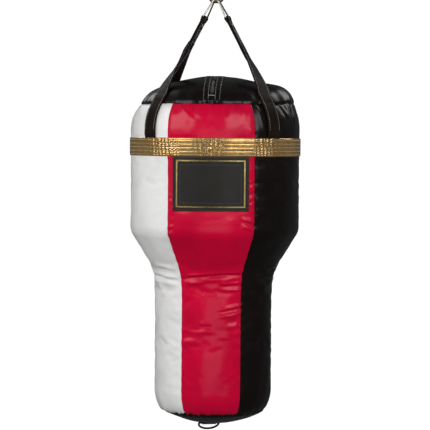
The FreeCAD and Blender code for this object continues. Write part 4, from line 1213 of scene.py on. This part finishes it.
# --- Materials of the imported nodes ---
def dress_nodes():
    groups = {
        STEEL: ["swivel_eye", "swivel_nut", "swivel_nut_pin", "swivel_housing", "swivel_bow",
                "thrust_washer_lower", "thrust_washer_upper", "thrust_balls"],
        NICKEL: ["carabiner_body", "carabiner_gate", "gate_pin", "gate_spring", "triangle_ring_left",
                 "triangle_ring_right", "strap_rivets"],
        DARK_STEEL: ["bottom_d_ring"],
        FOIL: ["label_frame"],
        ZIP_METAL: ["zip_slider", "zip_pull", "zip_stops"],
        TAPE: ["zip_tape_left", "zip_tape_right"],
        CANVAS: ["inner_liner"],
        SCRAPS: ["textile_filling"],
    }
    for material, names in groups.items():
        for name in names:
            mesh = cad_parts[name].data
            mesh.materials.clear()
            mesh.materials.append(material)


# --- Studio ---
CAMERA_DISTANCE = 5.2
CAMERA_TURN = 3.0            # the camera's azimuth, a little to the right of the front
CAMERA_DROP = 0.164
AIM_X = 0.001
AIM_DROP = 0.3975
VIEW_WIDTH = 1.234           # what the frame shows at the bag's axis
SENSOR = 36.0
CAMERA_ROLL = 0.45


# Name, azimuth, distance and height, size, power, how far below the dome's top it aims, shown in gloss.
LAMPS = [
    ("key_left", -46, 2.5, 0.85, (1.9, 1.8), 33, 0.4, True),
    ("key_right", 36, 2.5, 0.85, (1.8, 1.8), 33, 0.4, True),
    ("fill_front", CAMERA_TURN, 3.4, -0.75, (2.6, 1.8), 70, 0.7, False),
    ("fill_left", -88, 3.2, 0.1, (1.8, 2.0), 40, 0.6, False),
    ("fill_right", 96, 3.2, 0.1, (1.8, 2.0), 26, 0.6, False),
    ("fill_back", 180, 3.2, 0.2, (2.6, 2.0), 60, 0.6, False),
    ("rim_right", 129, 2.2, 1.3, (0.8, 1.2), 9, 0.4, True),
    ("rim_left", -135, 2.2, 1.3, (0.8, 1.2), 8, 0.4, True),
]


def round_place(distance, azimuth, height):
    """A place round the bag, with its height measured from the dome's top."""
    return Vector((distance * math.sin(math.radians(azimuth)), -distance * math.cos(math.radians(azimuth)),
                   TOP_Z + height))


def camera():
    data = bpy.data.cameras.new("camera")
    data.sensor_width = SENSOR
    data.lens = SENSOR * CAMERA_DISTANCE / VIEW_WIDTH
    view = bpy.data.objects.new("camera", data)
    place = round_place(CAMERA_DISTANCE, CAMERA_TURN, -CAMERA_DROP)
    aim = Vector((AIM_X, 0, TOP_Z - AIM_DROP))
    view.location = place
    view.rotation_mode = "QUATERNION"
    view.rotation_quaternion = (aim - place).to_track_quat("-Z", "Y")
    view.rotation_mode = "XYZ"
    view.rotation_euler.rotate_axis("Z", math.radians(CAMERA_ROLL))
    bpy.context.scene.collection.objects.link(view)
    bpy.context.scene.camera = view


def area_light(name, azimuth, distance, height, size, power, aim_drop, glossy):
    data = bpy.data.lights.new(name, "AREA")
    data.shape = "RECTANGLE"
    data.size, data.size_y = size
    data.energy = power
    light = bpy.data.objects.new(name, data)
    place = round_place(distance, azimuth, height)
    light.location = place
    light.rotation_euler = (Vector((0, 0, TOP_Z - aim_drop)) - place).to_track_quat("-Z", "Y").to_euler()
    light.visible_glossy = glossy
    bpy.context.scene.collection.objects.link(light)


def studio_shell():
    """Pale floor that sweeps up into a round wall and ceiling, so every view has the same ground."""
    floor_z = TOP_Z - BAG_HEIGHT - 3.8
    bend, wall_r, height = 2.0, 11.0, 15.0
    inner, turns = wall_r - bend, np.linspace(6, 90, 12)
    profile = [(0.01, 0.0), (4.0, 0.0), (inner, 0.0)]
    profile += [(inner + bend * sin(t), bend - bend * cos(t)) for t in turns]
    profile += [(wall_r, height - bend)]
    profile += [(inner + bend * cos(t), height - bend + bend * sin(t)) for t in turns]
    profile += [(0.01, height)]
    turn = np.arange(72) * 5.0
    points = np.array([[(r * sin(a), -r * cos(a), floor_z + z) for a in turn] for r, z in profile])
    made = Shader("pale_backdrop", Roughness=0.9)
    made.colour(0.6, 2, [(0.3, (0.90, 0.90, 0.90)), (0.7, (0.93, 0.93, 0.93))])
    made.surface.inputs["Emission Color"].default_value = (1, 1, 1, 1)
    made.surface.inputs["Emission Strength"].default_value = 0.95
    sheet = grid_object("backdrop", points, made.material, closed=True)
    sheet.visible_glossy = False
    sheet.visible_diffuse = False
    sheet.visible_shadow = False


def studio():
    scene = bpy.context.scene
    scene.view_settings.view_transform = "Standard"
    world = bpy.data.worlds.new("studio")
    world.use_nodes = True
    world.node_tree.nodes["Background"].inputs["Color"].default_value = (0.75, 0.78, 0.82, 1)
    world.node_tree.nodes["Background"].inputs["Strength"].default_value = 0.09
    scene.world = world
    for lamp in LAMPS:
        area_light(*lamp)
    studio_shell()


def main():
    camera()
    studio()
    dress_nodes()
    for index in range(GORES):
        gore(index)
    for side in (-1, 1):
        cap_half(side)
        strap(side)
    cap_thread()
    zip_coils()
    bottom_cap()
    ring_patch()
    ring_tab()
    gold_band()
    label()
    padding()


main()
